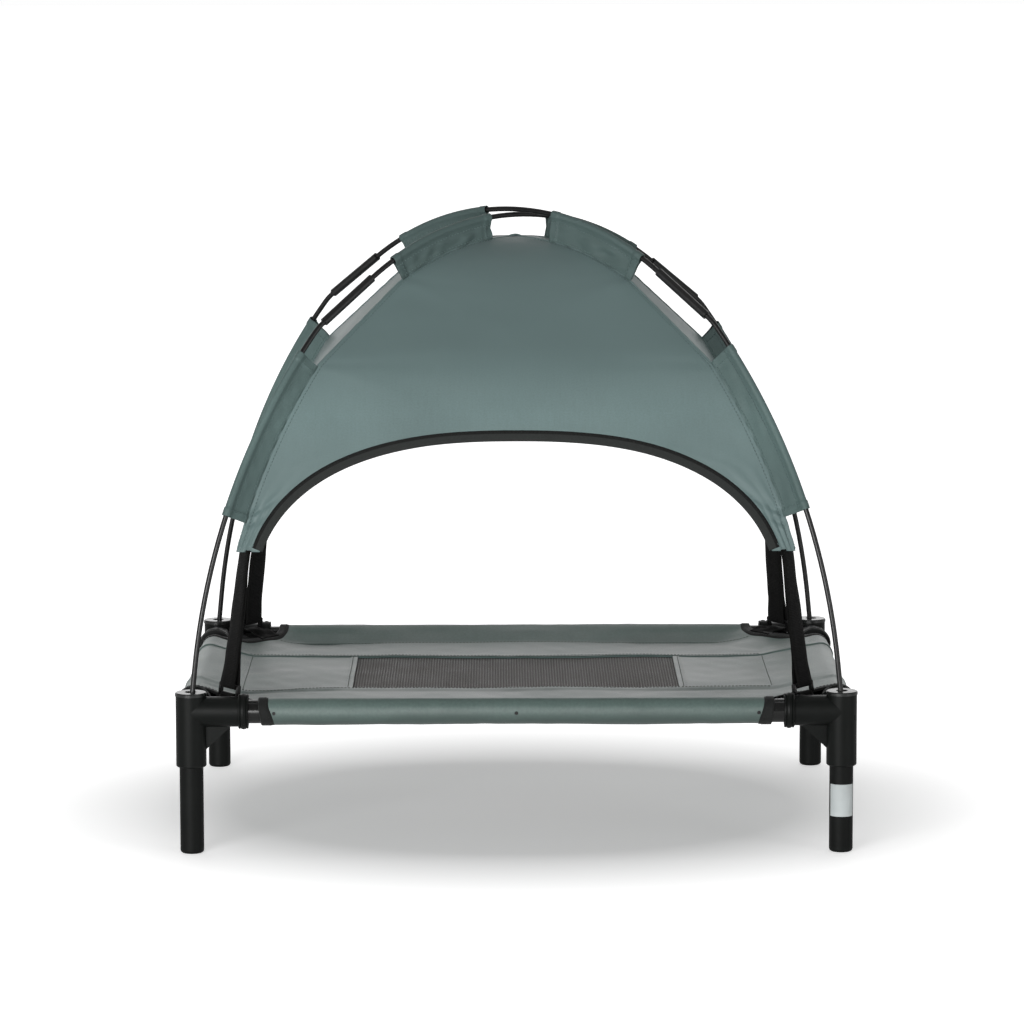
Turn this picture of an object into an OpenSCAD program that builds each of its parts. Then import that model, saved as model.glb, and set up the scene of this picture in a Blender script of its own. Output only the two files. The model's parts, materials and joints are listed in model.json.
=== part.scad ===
// Raised pet cot with a dome sun canopy. Millimetres, +Z up, front at -Y.
// Origin: on the floor, below the middle of the cot.

/* [Frame] */
// Distance between the left and right post axes
post_span_x = 600; // [540:10:700]
// Distance between the front and back post axes
post_span_y = 430; // [380:10:500]
// Height of the rail axes above the floor
rail_z = 132; // [120:1:160]
// Outer diameter of the leg and rail tubes
tube_d = 22; // [20:0.5:25]
// Wall thickness of the leg and rail tubes
tube_wall = 1.2; // [1:0.1:2]
// Outer diameter of the connector's collar and sockets
collar_d = 28; // [27:0.5:32]
// Height of the connector's top face
collar_top = 147; // [147:1:152]
// Height of the connector's bottom face
collar_bottom = 81; // [70:1:90]
// Distance from the post axis to the socket's mouth
socket_reach = 53; // [46:1:60]

/* [Bed] */
// Cloth thickness of the sling
cloth_t = 1.2; // [0.8:0.1:1.6]
// Distance from the post axis at which the sling's corner cut-out ends
cutout_r = 66; // [60:1:75]
// Width of the binding tape around the cut-outs
binding_w = 9; // [6:1:12]
// Stitch line of the front and back sleeves, from the rail axis
stitch_front = 35; // [30:1:45]
// Stitch line of the left and right sleeves, from the rail axis
stitch_side = 58; // [45:1:60]
// Length of the mesh window
mesh_x = 310; // [250:5:360]
// Width of the mesh window
mesh_y = 178; // [140:2:200]

/* [Poles] */
// Outer diameter of the pole sections
pole_d = 4.9; // [4:0.1:6]
// Outer diameter of the ferrules
ferrule_d = 8; // [7:0.5:9]
// Length of a ferrule
ferrule_l = 66; // [50:1:80]
// Bend radius of the middle section
crown_r = 285; // [270:5:300]
// Distance from the centre to a ferrule's upper end
ferrule_s = 165; // [150:1:175]
// Bend radius where a lower section leaves its ferrule
shoulder_r = 60; // [45:5:90]
// Angle turned in that bend
shoulder_a = 13.7; // [12:0.1:15]
// Lean of a pole's foot from the vertical
foot_lean = 7; // [6:0.5:8]
// Height difference between the two poles where they cross
crossing_gap = 5.2; // [5:0.1:6]

/* [Canopy] */
// Distance from a pole's axis down to the canopy's ridge
ridge_drop = 23.5; // [20:0.5:28]
// Thickness of the canopy shell at the ridge
shell_t = 2.2; // [1.5:0.1:3]
// Height of the canopy's lower corners
hem_z = 276; // [260:1:290]
// Height of the arches' springing line
arch_z = 215; // [200:5:230]
// Half width of the front and back arches at the springing line
arch_half = 253; // [245:1:255]
// Rise of the arches above the springing line
arch_rise = 168; // [150:1:180]
// Width of the arches' binding tape
arch_band = 9; // [6:1:12]
// Width of the webbing straps
strap_w = 25; // [20:1:27]

/* [Hidden] */
$fn = 64;
eps = 0.01;

post_x = post_span_x / 2;
post_y = post_span_y / 2;
diag_s = sqrt(post_x * post_x + post_y * post_y);
diag_a = atan2(post_y, post_x);
tube_r = tube_d / 2;
collar_r = collar_d / 2;
fit = 0.05;                       // radial clearance of tubes in sockets
socket_floor = 16;                // closed end of a socket, from the post axis
leg_top = 115;                    // upper end of a leg tube inside its collar
cap_seat = 118;                   // floor of the cap's recess
cap_t = 3.3;                      // thickness of the cap's disc
cap_top = collar_top + cap_t;
hole_r = 4.6;                     // pole hole in a cap
hole_floor = 122;                 // its closed lower end

sleeve_out = tube_r + 0.25 + cloth_t;   // outer radius of the cloth round a rail
screw_x = [-223, 0, 223];         // screws along the front and back sleeves
screw_r = 1.2;
screw_head_r = 1.7;
label_z = [34, 64];               // lower and upper edge of the leg label
label_half_angle = 65;

// Pole curve in a diagonal plane: s is the distance from the centre, a the slope.
// Crown arc, straight ferrule, shoulder arc, long flank arc, straight foot.
crown_a = asin(ferrule_s / crown_r);
flank_a = crown_a + shoulder_a;
foot_a = 90 - foot_lean;
foot_l = 37;                      // straight part above the middle of the cap's hole
foot_mid_z = 136;                 // height at which a pole crosses its post axis
flank_r = (diag_s - ferrule_s - ferrule_l * cos(crown_a)
    - shoulder_r * (sin(flank_a) - sin(crown_a)) - foot_l * sin(foot_lean))
    / (sin(foot_a) - sin(flank_a));
apex_z = foot_mid_z + crown_r * (1 - cos(crown_a)) + ferrule_l * sin(crown_a)
    + shoulder_r * (cos(crown_a) - cos(flank_a))
    + flank_r * (cos(flank_a) - cos(foot_a)) + foot_l * cos(foot_lean);

function along(p, a, l) = [p[0] + l * cos(a), p[1] - l * sin(a)];
function centre_of(p, a, r) = [p[0] - r * sin(a), p[1] - r * cos(a)];
function on_arc(c, r, a) = [c[0] + r * sin(a), c[1] + r * cos(a)];

crown_c = [0, apex_z - crown_r];
ferrule_in = on_arc(crown_c, crown_r, crown_a);
ferrule_mid = along(ferrule_in, crown_a, ferrule_l / 2);
ferrule_out = along(ferrule_in, crown_a, ferrule_l);
shoulder_c = centre_of(ferrule_out, crown_a, shoulder_r);
flank_in = on_arc(shoulder_c, shoulder_r, flank_a);
flank_c = centre_of(flank_in, flank_a, flank_r);
foot_in = on_arc(flank_c, flank_r, foot_a);

pole_r = pole_d / 2;
pole_bore_r = 1.3;
cord_r = 1;
section_gap = 0.6;                // between the two sections inside a ferrule
tip_h = 3;                        // button at a pole's foot
tip_stem = 8;                     // its stem in the pole's bore
lap = 0.4;                        // overlap of neighbouring arcs and straights
lap_step = 0.02;

// Sleeves, as slopes along the pole curve
upper_sleeve = [7.5, 30];
lower_sleeve = [51.4, 68.4];
tunnel_r = 3;
tunnel_wall = 1.2;
sleeve_t = 1.4;
seam_bite = 0.6;                  // depth of a sleeve's seam in the ridge

arch_n = 2.5;                     // exponent of the arches' outline
side_ratio = post_y / post_x;

// Strap and ring, seen along the ridge's own perpendicular
ring_s = diag_s - 43;
ring_z = 152.5;
ring_w = 32;
bar_r = 1.8;
bar_pitch = 10;                   // between the ring's upper and lower bars
strap_t = 1.5;
strap_top_s = 308.5;
strap_lean = atan2(ring_s - strap_top_s, hem_z - ring_z);
strap_l = (hem_z - 0.4 - ring_z) / cos(strap_lean);

plastic = [0.10, 0.105, 0.105];
cap_grey = [0.42, 0.43, 0.42];
tube_black = [0.07, 0.07, 0.07];
cloth_green = [0.42, 0.48, 0.46];
mesh_brown = [0.27, 0.26, 0.25];
webbing = [0.06, 0.06, 0.06];

// ---------- placing ----------

// Corner (sx, sy): the child's +X and +Y point along the rails, into the cot
module at_corner(sx, sy) {
    translate([sx * post_x, sy * post_y, 0])
        mirror([sx > 0 ? 1 : 0, 0, 0])
            mirror([0, sy > 0 ? 1 : 0, 0])
                children();
}

// Turns the child's XZ plane into the vertical plane from the centre to a post
module on_diagonal(sx, sy) {
    rotate([0, 0, sx * sy > 0 ? (sx > 0 ? diag_a : diag_a + 180) : (sx > 0 ? -diag_a : 180 - diag_a)])
        children();
}

// Pole a runs from front left to back right below pole b
function pole_dz(sx, sy) = (sx * sy > 0 ? -1 : 1) * crossing_gap / 2;

// Straight foot of a pole, down to the floor of its cap's hole
function foot_reach(sx, sy) = foot_l + (foot_mid_z + pole_dz(sx, sy) - hole_floor - 0.3) / cos(foot_lean);

// ---------- connectors, caps, legs and rails ----------

module bead_ring() {
    rotate([0, 90, 0])
        rotate_extrude()
            polygon([
                [collar_r - 1, socket_reach - 9], [collar_r + 1.4, socket_reach - 9],
                [collar_r + 2, socket_reach - 8.4], [collar_r + 2, socket_reach - 7.4],
                [collar_r + 1.3, socket_reach - 7], [collar_r + 2.1, socket_reach - 6.2],
                [collar_r + 2.6, socket_reach - 4.2], [collar_r + 2.1, socket_reach - 2.2],
                [collar_r + 1.3, socket_reach - 1.5], [collar_r + 1.9, socket_reach - 1],
                [collar_r + 1.7, socket_reach], [collar_r - 1, socket_reach]
            ]);
}

module socket_outside() {
    gusset_reach = 36.5;
    gusset_drop = 21;
    gusset_t = 3;
    translate([0, 0, rail_z]) {
        rotate([0, 90, 0])
            cylinder(r = collar_r, h = socket_reach - 1);
        bead_ring();
    }
    translate([0, gusset_t / 2, rail_z])
        rotate([90, 0, 0])
            linear_extrude(gusset_t)
                polygon([
                    [collar_r - 2, -collar_r - gusset_drop], [collar_r, -collar_r - gusset_drop],
                    [gusset_reach, -collar_r], [gusset_reach, -collar_r + 3], [collar_r - 2, -collar_r + 3]
                ]);
}

module socket_bore() {
    translate([socket_floor, 0, rail_z])
        rotate([0, 90, 0])
            cylinder(r = tube_r + fit, h = socket_reach);
}

module corner(sx, sy) {
    edge = 1;
    mark_w = 1.6;
    mark_h = 5;
    color(plastic)
        at_corner(sx, sy)
            difference() {
                union() {
                    translate([0, 0, collar_bottom + edge])
                        cylinder(r = collar_r, h = collar_top - collar_bottom - edge);
                    translate([0, 0, collar_bottom])
                        cylinder(r1 = collar_r - edge, r2 = collar_r, h = edge);
                    socket_outside();
                    mirror([1, -1, 0])
                        socket_outside();
                }
                translate([0, 0, collar_bottom - eps])
                    cylinder(r = tube_r + fit, h = leg_top - collar_bottom + eps);
                translate([0, 0, cap_seat])
                    cylinder(r = tube_r, h = collar_top);
                socket_bore();
                mirror([1, -1, 0])
                    socket_bore();
                // moulding mark on the outward side
                translate([-collar_r, -8.8, rail_z - 8.5])
                    cube([2.8, mark_w, mark_h]);
            }
}

module cap(sx, sy) {
    rim = 0.8;
    color(cap_grey)
        translate([sx * post_x, sy * post_y, 0])
            difference() {
                union() {
                    translate([0, 0, collar_top])
                        cylinder(r = collar_r + 0.6, h = cap_t - rim);
                    translate([0, 0, cap_top - rim])
                        cylinder(r1 = collar_r + 0.6, r2 = collar_r + 0.6 - rim, h = rim);
                    translate([0, 0, cap_seat])
                        cylinder(r = tube_r - fit, h = collar_top - cap_seat + eps);
                }
                translate([0, 0, hole_floor])
                    cylinder(r = hole_r, h = cap_top);
                translate([0, 0, cap_top - 1])
                    cylinder(r1 = hole_r, r2 = hole_r + 1.2, h = 1 + eps);
            }
}

foot_h = 5;

module leg(sx, sy) {
    color(tube_black)
        translate([sx * post_x, sy * post_y, foot_h])
            difference() {
                cylinder(r = tube_r, h = leg_top - foot_h);
                translate([0, 0, -1])
                    cylinder(r = tube_r - tube_wall, h = leg_top);
            }
}

module foot(sx, sy) {
    round_r = 3;
    plug_h = 14;
    color(plastic)
        translate([sx * post_x, sy * post_y, 0]) {
            rotate_extrude()
                union() {
                    translate([0, round_r])
                        square([tube_r, foot_h - round_r]);
                    square([tube_r - round_r, foot_h]);
                    translate([tube_r - round_r, round_r])
                        circle(r = round_r);
                }
            translate([0, 0, foot_h - eps])
                cylinder(r = tube_r - tube_wall - fit, h = plug_h);
        }
}

// Long rail along X at the front (side = -1) or the back (side = 1)
module long_rail(side) {
    len = post_span_x - 2 * (socket_floor + 1);
    color(tube_black)
        difference() {
            translate([-len / 2, side * post_y, rail_z])
                rotate([0, 90, 0])
                    difference() {
                        cylinder(r = tube_r, h = len);
                        translate([0, 0, -1])
                            cylinder(r = tube_r - tube_wall, h = len + 2);
                    }
            screws_along(side, screw_r + fit, 1);
        }
}

// Short rail along Y at the left (side = -1) or the right (side = 1)
module short_rail(side) {
    len = post_span_y - 2 * (socket_floor + 1);
    color(tube_black)
        translate([side * post_x, len / 2, rail_z])
            rotate([90, 0, 0])
                difference() {
                    cylinder(r = tube_r, h = len);
                    translate([0, 0, -1])
                        cylinder(r = tube_r - tube_wall, h = len + 2);
                }
}

module leg_label() {
    label_t = 0.3;
    color("white")
        translate([post_x, -post_y, label_z[0]])
            rotate([0, 0, -90 - label_half_angle])
                rotate_extrude(angle = 2 * label_half_angle)
                    translate([tube_r, 0])
                        square([label_t, label_z[1] - label_z[0]]);
}

// ---------- sling ----------

// Section of a rail sleeve: round over the rail, drawn to a stitch line at +X
module sleeve_outline(r, reach) {
    a = asin(r / reach);
    circle(r = r);
    polygon([[0, 0], [r * sin(a), r * cos(a)], [reach, 0], [r * sin(a), -r * cos(a)]]);
}

// Cloth of all four sleeves and the flat bed, grown by g on both faces
module sling_sheet(g) {
    inner = sleeve_out - cloth_t - g * 0.3;
    outer = sleeve_out + g;
    for (side = [-1, 1]) {
        translate([0, side * post_y, rail_z])
            mirror([0, side > 0 ? 0 : 1, 0])
                rotate([90, 0, -90])
                    linear_extrude(post_span_x - 60, center = true)
                        difference() {
                            sleeve_outline(outer, stitch_front);
                            sleeve_outline(inner, stitch_front * inner / outer);
                        }
        translate([side * post_x, 0, rail_z])
            mirror([side > 0 ? 0 : 1, 0, 0])
                rotate([90, 0, 0])
                    linear_extrude(post_span_y - 60, center = true)
                        mirror([1, 0])
                            difference() {
                                sleeve_outline(outer, stitch_side);
                                sleeve_outline(inner, stitch_side * inner / outer);
                            }
    }
    flat_x = post_x - stitch_side + 3;
    flat_y = post_y - stitch_front + 3;
    translate([-flat_x, -flat_y, rail_z - cloth_t / 2 - g])
        cube([2 * flat_x, 2 * flat_y, cloth_t + 2 * g]);
}

// Upright twelve-sided prism round a post, with a corner on the cot's diagonal
module post_prism(sx, sy, r, h) {
    translate([sx * post_x, sy * post_y, rail_z - h / 2])
        rotate([0, 0, 15])
            cylinder(r = r, h = h, $fn = 12);
}

module sling_cloth() {
    color(cloth_green)
        difference() {
            sling_sheet(0);
            for (sx = [-1, 1])
                for (sy = [-1, 1])
                    post_prism(sx, sy, cutout_r, 80);
            translate([-mesh_x / 2, -mesh_y / 2, rail_z - 5])
                cube([mesh_x, mesh_y, 10]);
            screws_along(-1, screw_r + fit, 1);
            screws_along(1, screw_r + fit, 1);
        }
}

module sling_mesh() {
    color(mesh_brown)
        translate([-mesh_x / 2, -mesh_y / 2, rail_z - cloth_t / 2])
            cube([mesh_x, mesh_y, cloth_t]);
}

module binding(sx, sy) {
    color(webbing)
        intersection() {
            sling_sheet(0.5);
            difference() {
                post_prism(sx, sy, cutout_r, 80);
                post_prism(sx, sy, cutout_r - binding_w, 82);
            }
        }
}

// Shanks of the three screws through one long sleeve and its rail's outer wall
module screws_along(side, r, extra) {
    depth = 5;
    for (x = screw_x)
        translate([x, side * (post_y + sleeve_out + extra), rail_z])
            rotate([side * 90, 0, 0])
                cylinder(r = r, h = depth + extra);
}

module sling_screws() {
    head_t = 0.8;
    color(plastic)
        for (side = [-1, 1]) {
            screws_along(side, screw_r, 0);
            for (x = screw_x)
                translate([x, side * (post_y + sleeve_out), rail_z])
                    rotate([-side * 90, 0, 0])
                        cylinder(r1 = screw_head_r, r2 = screw_head_r - 0.5, h = head_t);
        }
}

// ---------- poles ----------

// Sweeps the 2D child along an arc of the pole curve, from slope a0 to slope a1
module along_arc(c, r, a0, a1) {
    translate([c[0], 0, c[1]])
        rotate([90, 0, 0])
            rotate([0, 0, 90 - a1])
                rotate_extrude(angle = a1 - a0, $fn = 180)
                    translate([r, 0])
                        children();
}

// Sweeps the 2D child along a straight stretch from p, at slope a
module along_line(p, a, l) {
    translate([p[0], 0, p[1]])
        rotate([0, 90 + a, 0])
            linear_extrude(l)
                rotate([0, 0, 90])
                    children();
}

module ring_section(r, bore) {
    difference() {
        circle(r = r);
        circle(r = bore);
    }
}

// Rods of radius r whose pieces lap by lap, every second one thinner by lap_step

// Crown arc with a straight end of the given length on both sides
module crown_rod(r, straight) {
    along_arc(crown_c, crown_r, -crown_a, crown_a)
        circle(r = r);
    for (m = [0, 1])
        mirror([m, 0, 0])
            along_line(along(ferrule_in, crown_a, -lap), crown_a, straight + lap)
                circle(r = r - lap_step);
}

// Flank of a pole from the ferrule's lower end, down a straight foot of the given length
module flank_rod(r, foot) {
    lap_a = lap / flank_r * 180 / PI;
    along_arc(shoulder_c, shoulder_r, crown_a, flank_a)
        circle(r = r);
    along_arc(flank_c, flank_r, flank_a - lap_a, foot_a + lap_a)
        circle(r = r - lap_step);
    along_line(foot_in, foot_a, foot)
        circle(r = r);
}

module middle_section() {
    half = (ferrule_l - section_gap) / 2;
    difference() {
        crown_rod(pole_r, half);
        crown_rod(pole_bore_r, half);
    }
}

module lower_rod(r, foot) {
    half = (ferrule_l - section_gap) / 2;
    along_line(along(ferrule_out, crown_a, -half), crown_a, half + lap)
        circle(r = r - lap_step);
    flank_rod(r, foot);
}

module lower_section(foot) {
    difference() {
        lower_rod(pole_r, foot);
        lower_rod(pole_bore_r, foot);
    }
}

module lower_pole(sx, sy) {
    color(tube_black)
        on_diagonal(sx, sy)
            translate([0, 0, pole_dz(sx, sy)])
                lower_section(foot_reach(sx, sy) - tip_h);
}

module middle_pole(sx, sy) {
    color(tube_black)
        on_diagonal(sx, sy)
            translate([0, 0, pole_dz(sx, sy)])
                middle_section();
}

module ferrule(sx, sy) {
    color(tube_black)
        on_diagonal(sx, sy)
            translate([0, 0, pole_dz(sx, sy)])
                along_line(ferrule_in, crown_a, ferrule_l)
                    ring_section(ferrule_d / 2, pole_r + fit);
}

module pole_tips() {
    color(plastic)
        for (sx = [-1, 1])
            for (sy = [-1, 1])
                on_diagonal(sx, sy)
                    translate([0, 0, pole_dz(sx, sy)]) {
                        button = foot_reach(sx, sy) - tip_h;
                        along_line(along(foot_in, foot_a, button), foot_a, tip_h)
                            circle(r = pole_r);
                        along_line(along(foot_in, foot_a, button - tip_stem), foot_a, tip_stem + 1)
                            circle(r = pole_bore_r - fit);
                    }
}

module shock_cord(sx, sy) {
    color("dimgray")
        on_diagonal(sx, sy)
            translate([0, 0, pole_dz(sx, sy)]) {
                crown_rod(cord_r, ferrule_l + lap);
                for (m = [0, 1])
                    mirror([m, 0, 0])
                        flank_rod(cord_r, foot_reach(sx, sy) - tip_h - tip_stem - 1);
            }
}

// ---------- canopy ----------

// Ridge of the canopy from the apex to height z: the pole curve moved in by d
function ridge(d, z) = concat(
    [for (k = [0 : 7]) on_arc(crown_c, crown_r - d, crown_a * k / 7)],
    [for (k = [0 : 2]) on_arc(shoulder_c, shoulder_r - d, crown_a + shoulder_a * k / 2)],
    let (last = acos((z - flank_c[1]) / (flank_r - d)))
        [for (k = [1 : 9]) on_arc(flank_c, flank_r - d, flank_a + (last - flank_a) * k / 9)]);

// Half of the dome's upright section, mirrored, with s scaled by f
module dome_section(d, f, z) {
    half = ridge(d, z);
    n = len(half) - 1;
    polygon(concat(
        [for (k = [0 : n]) [half[k][0] * f, half[k][1]]],
        [for (k = [n : -1 : 1]) [-half[k][0] * f, half[k][1]]]));
}

// Solid dome: the front and side sections crossed
module dome(d, z) {
    intersection() {
        rotate([90, 0, 0])
            linear_extrude(2 * post_span_y, center = true)
                dome_section(d, cos(diag_a), z);
        rotate([90, 0, 90])
            linear_extrude(2 * post_span_x, center = true)
                dome_section(d, sin(diag_a), z);
    }
}

module dome_shell(g) {
    difference() {
        dome(ridge_drop - g, hem_z);
        dome(ridge_drop + shell_t + g, hem_z - 5);
    }
}

// Arch outline, smaller by d, with its width scaled by f
module arch_outline(d, f) {
    steps = 36;
    polygon([for (k = [0 : steps])
        let (t = 180 * k / steps, c = cos(t), s = sin(t))
        [sign(c) * (arch_half * f - d) * pow(abs(c), 2 / arch_n),
         arch_z + (arch_rise - d) * pow(abs(s), 2 / arch_n)]]);
}

// Prism of the child's outline through one side: angle 0 is the front
module through_side(angle) {
    rotate([0, 0, angle])
        rotate([90, 0, 0])
            linear_extrude(post_span_x)
                children();
}

module canopy_cloth() {
    color(cloth_green)
        difference() {
            dome_shell(0);
            for (angle = [0, 180])
                through_side(angle)
                    arch_outline(0, 1);
            for (angle = [90, 270])
                through_side(angle)
                    arch_outline(0, side_ratio);
        }
}

module arch_binding(angle, f) {
    color(webbing)
        intersection() {
            dome_shell(0.5);
            through_side(angle)
                difference() {
                    arch_outline(0, f);
                    arch_outline(arch_band, f);
                }
        }
}

// Tunnel round the pole and the cloth strip down to the ridge seam
module sleeve_section(r, a, dz) {
    seam = r - ridge_drop + dz * cos(a) - seam_bite;
    translate([-r, 0])
        difference() {
            union() {
                translate([r, 0])
                    circle(r = tunnel_r + tunnel_wall);
                translate([seam, -sleeve_t / 2])
                    square([r - seam - tunnel_r, sleeve_t]);
            }
            translate([r, 0])
                circle(r = tunnel_r);
        }
}

module pole_sleeve(sx, sy, c, r, slopes) {
    dz = pole_dz(sx, sy);
    color(cloth_green)
        on_diagonal(sx, sy)
            translate([0, 0, dz])
                along_arc(c, r, slopes[0], slopes[1])
                    sleeve_section(r, (slopes[0] + slopes[1]) / 2, -dz);
}

module lower_sleeve(sx, sy) {
    pole_sleeve(sx, sy, flank_c, flank_r, lower_sleeve);
}

module upper_sleeve(sx, sy) {
    pole_sleeve(sx, sy, crown_c, crown_r, upper_sleeve);
}

// ---------- straps and rings ----------

// Draws the child, whose +Z leans along the strap, at the upper bar of a ring
module at_ring(sx, sy) {
    on_diagonal(sx, sy)
        translate([ring_s, 0, ring_z])
            rotate([0, -strap_lean, 0])
                children();
}

// Half circle below a bar, from its outer side to its inner side
function half_ring(r) = [for (t = [0 : 15 : 180]) [r * cos(t), -r * sin(t)]];

module strap(sx, sy) {
    fold_in = bar_r + 0.15;
    fold_out = fold_in + strap_t;
    joined = 24;
    color(webbing)
        at_ring(sx, sy)
            rotate([90, 0, 0])
                linear_extrude(strap_w, center = true)
                    difference() {
                        polygon(concat(
                            [[-strap_t, joined], [-strap_t, strap_l], [strap_t, strap_l], [strap_t, joined]],
                            half_ring(fold_out)
                        ));
                        polygon(concat([[0, joined]], half_ring(fold_in)));
                    }
}

module strap_rings() {
    side_w = 3;
    color(plastic)
        for (sx = [-1, 1])
            for (sy = [-1, 1])
                at_ring(sx, sy) {
                    for (z = [0, -bar_pitch])
                        translate([0, ring_w / 2, z])
                            rotate([90, 0, 0])
                                cylinder(r = bar_r, h = ring_w);
                    for (side = [-1, 1])
                        translate([-bar_r, side * (ring_w - side_w) / 2 - side_w / 2, -bar_pitch])
                            cube([2 * bar_r, side_w, bar_pitch]);
                }
}

module anchor_tapes() {
    tape_w = 16;
    tape_t = 0.9;
    loop_in = bar_r + 0.15;
    color(webbing)
        for (sx = [-1, 1])
            for (sy = [-1, 1])
                at_ring(sx, sy)
                    translate([0, 0, -bar_pitch])
                        rotate([90, 0, 0])
                            linear_extrude(tape_w, center = true)
                                difference() {
                                    union() {
                                        circle(r = loop_in + tape_t);
                                        polygon([
                                            [-1.2, 2.4], [-1, -2.4], [-10, -4.4],
                                            [-19.9, -4.4], [-19.9, -3.4], [-10, -3.3]
                                        ]);
                                    }
                                    circle(r = loop_in);
                                }
}

// ---------- drawing ----------

corner(-1, -1);  // corner_front_left
corner(1, -1);  // corner_front_right
corner(-1, 1);  // corner_back_left
corner(1, 1);  // corner_back_right
cap(-1, -1);  // cap_front_left
cap(1, -1);  // cap_front_right
cap(-1, 1);  // cap_back_left
cap(1, 1);  // cap_back_right
leg(-1, -1);  // leg_front_left
leg(1, -1);  // leg_front_right
leg(-1, 1);  // leg_back_left
leg(1, 1);  // leg_back_right
foot(-1, -1);  // foot_front_left
foot(1, -1);  // foot_front_right
foot(-1, 1);  // foot_back_left
foot(1, 1);  // foot_back_right
long_rail(-1);  // rail_front
long_rail(1);  // rail_back
short_rail(-1);  // rail_left
short_rail(1);  // rail_right
sling_cloth();
sling_mesh();
binding(-1, -1);  // binding_front_left
binding(1, -1);  // binding_front_right
binding(-1, 1);  // binding_back_left
binding(1, 1);  // binding_back_right
sling_screws();
leg_label();
anchor_tapes();
strap_rings();
lower_pole(-1, -1);  // pole_a_left
middle_pole(-1, -1);  // pole_a_middle
lower_pole(1, 1);  // pole_a_right
lower_pole(-1, 1);  // pole_b_left
middle_pole(-1, 1);  // pole_b_middle
lower_pole(1, -1);  // pole_b_right
ferrule(-1, -1);  // ferrule_front_left
ferrule(1, -1);  // ferrule_front_right
ferrule(-1, 1);  // ferrule_back_left
ferrule(1, 1);  // ferrule_back_right
pole_tips();
shock_cord(-1, -1);  // shock_cord_a
shock_cord(-1, 1);  // shock_cord_b
canopy_cloth();
lower_sleeve(-1, -1);  // lower_sleeve_front_left
lower_sleeve(1, -1);  // lower_sleeve_front_right
lower_sleeve(-1, 1);  // lower_sleeve_back_left
lower_sleeve(1, 1);  // lower_sleeve_back_right
upper_sleeve(-1, -1);  // upper_sleeve_front_left
upper_sleeve(1, -1);  // upper_sleeve_front_right
upper_sleeve(-1, 1);  // upper_sleeve_back_left
upper_sleeve(1, 1);  // upper_sleeve_back_right
arch_binding(0, 1);  // arch_binding_front
arch_binding(180, 1);  // arch_binding_back
arch_binding(270, side_ratio);  // arch_binding_left
arch_binding(90, side_ratio);  // arch_binding_right
strap(-1, -1);  // strap_front_left
strap(1, -1);  // strap_front_right
strap(-1, 1);  // strap_back_left
strap(1, 1);  // strap_back_right
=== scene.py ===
import json
import math

import bpy
import numpy as np
from mathutils import Matrix, Vector


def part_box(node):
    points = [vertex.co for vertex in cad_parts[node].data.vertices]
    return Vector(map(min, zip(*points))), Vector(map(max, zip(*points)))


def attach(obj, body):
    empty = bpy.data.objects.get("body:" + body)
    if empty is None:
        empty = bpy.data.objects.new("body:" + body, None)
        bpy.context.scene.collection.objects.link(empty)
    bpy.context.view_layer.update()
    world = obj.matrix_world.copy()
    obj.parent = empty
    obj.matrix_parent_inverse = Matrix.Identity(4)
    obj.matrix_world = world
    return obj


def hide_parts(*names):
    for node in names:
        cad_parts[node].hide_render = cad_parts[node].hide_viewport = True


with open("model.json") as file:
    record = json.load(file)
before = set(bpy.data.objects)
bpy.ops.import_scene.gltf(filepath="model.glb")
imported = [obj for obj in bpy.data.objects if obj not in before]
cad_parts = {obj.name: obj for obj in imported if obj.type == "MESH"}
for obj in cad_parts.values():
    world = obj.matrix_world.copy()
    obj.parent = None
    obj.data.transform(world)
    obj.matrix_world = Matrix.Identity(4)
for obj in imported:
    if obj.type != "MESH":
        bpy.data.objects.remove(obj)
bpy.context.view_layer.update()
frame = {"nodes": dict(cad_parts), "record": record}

# Raised pet cot with a dome canopy. Metres, +Z up, front at -Y.
# Hard parts keep their CAD shapes and get materials. Every soft part is built here.

# thickness of each cloth, tape and webbing
CANOPY_CLOTH, SLEEVE_CLOTH, SLING_CLOTH, NET_CLOTH = 0.0007, 0.00055, 0.0010, 0.0005
ARCH_TAPE, BED_TAPE, ANCHOR_TAPE, STRAP_WEB = 0.0010, 0.00125, 0.0011, 0.0014
CORNERS = {"front_left": (-1, -1), "front_right": (1, -1), "back_left": (-1, 1), "back_right": (1, 1)}
UP = np.array([0, 0, 1.0])

# ---------- sizes read from the frame ----------


def middle(node):
    lo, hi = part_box(node)
    return (lo + hi) / 2


POST_X, POST_Y = abs(middle("leg_front_right").x), abs(middle("leg_front_right").y)
RAIL_Z = middle("rail_front").z
TUBE_R = (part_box("rail_front")[1].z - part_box("rail_front")[0].z) / 2
DIAG = math.hypot(POST_X, POST_Y)
COS, SIN = POST_X / DIAG, POST_Y / DIAG
HEM_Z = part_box("canopy_cloth")[0].z

# Pole curve in a diagonal plane: crown arc, straight ferrule, shoulder arc, flank arc, foot
CROWN_R, FERRULE_S, FERRULE_L, SHOULDER_R, FOOT_L = 0.285, 0.165, 0.066, 0.060, 0.037
FOOT_MID_Z, CROSSING_GAP, RIDGE_DROP = 0.136, 0.0052, 0.0235
CROWN_A = math.asin(FERRULE_S / CROWN_R)
FLANK_A = CROWN_A + math.radians(13.7)
FOOT_A = math.radians(83)
FLANK_R = (DIAG - FERRULE_S - FERRULE_L * math.cos(CROWN_A)
           - SHOULDER_R * (math.sin(FLANK_A) - math.sin(CROWN_A))
           - FOOT_L * math.cos(FOOT_A)) / (math.sin(FOOT_A) - math.sin(FLANK_A))
APEX_Z = (FOOT_MID_Z + CROWN_R * (1 - math.cos(CROWN_A)) + FERRULE_L * math.sin(CROWN_A)
          + SHOULDER_R * (math.cos(CROWN_A) - math.cos(FLANK_A))
          + FLANK_R * (math.cos(FLANK_A) - math.cos(FOOT_A)) + FOOT_L * math.sin(FOOT_A))
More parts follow.
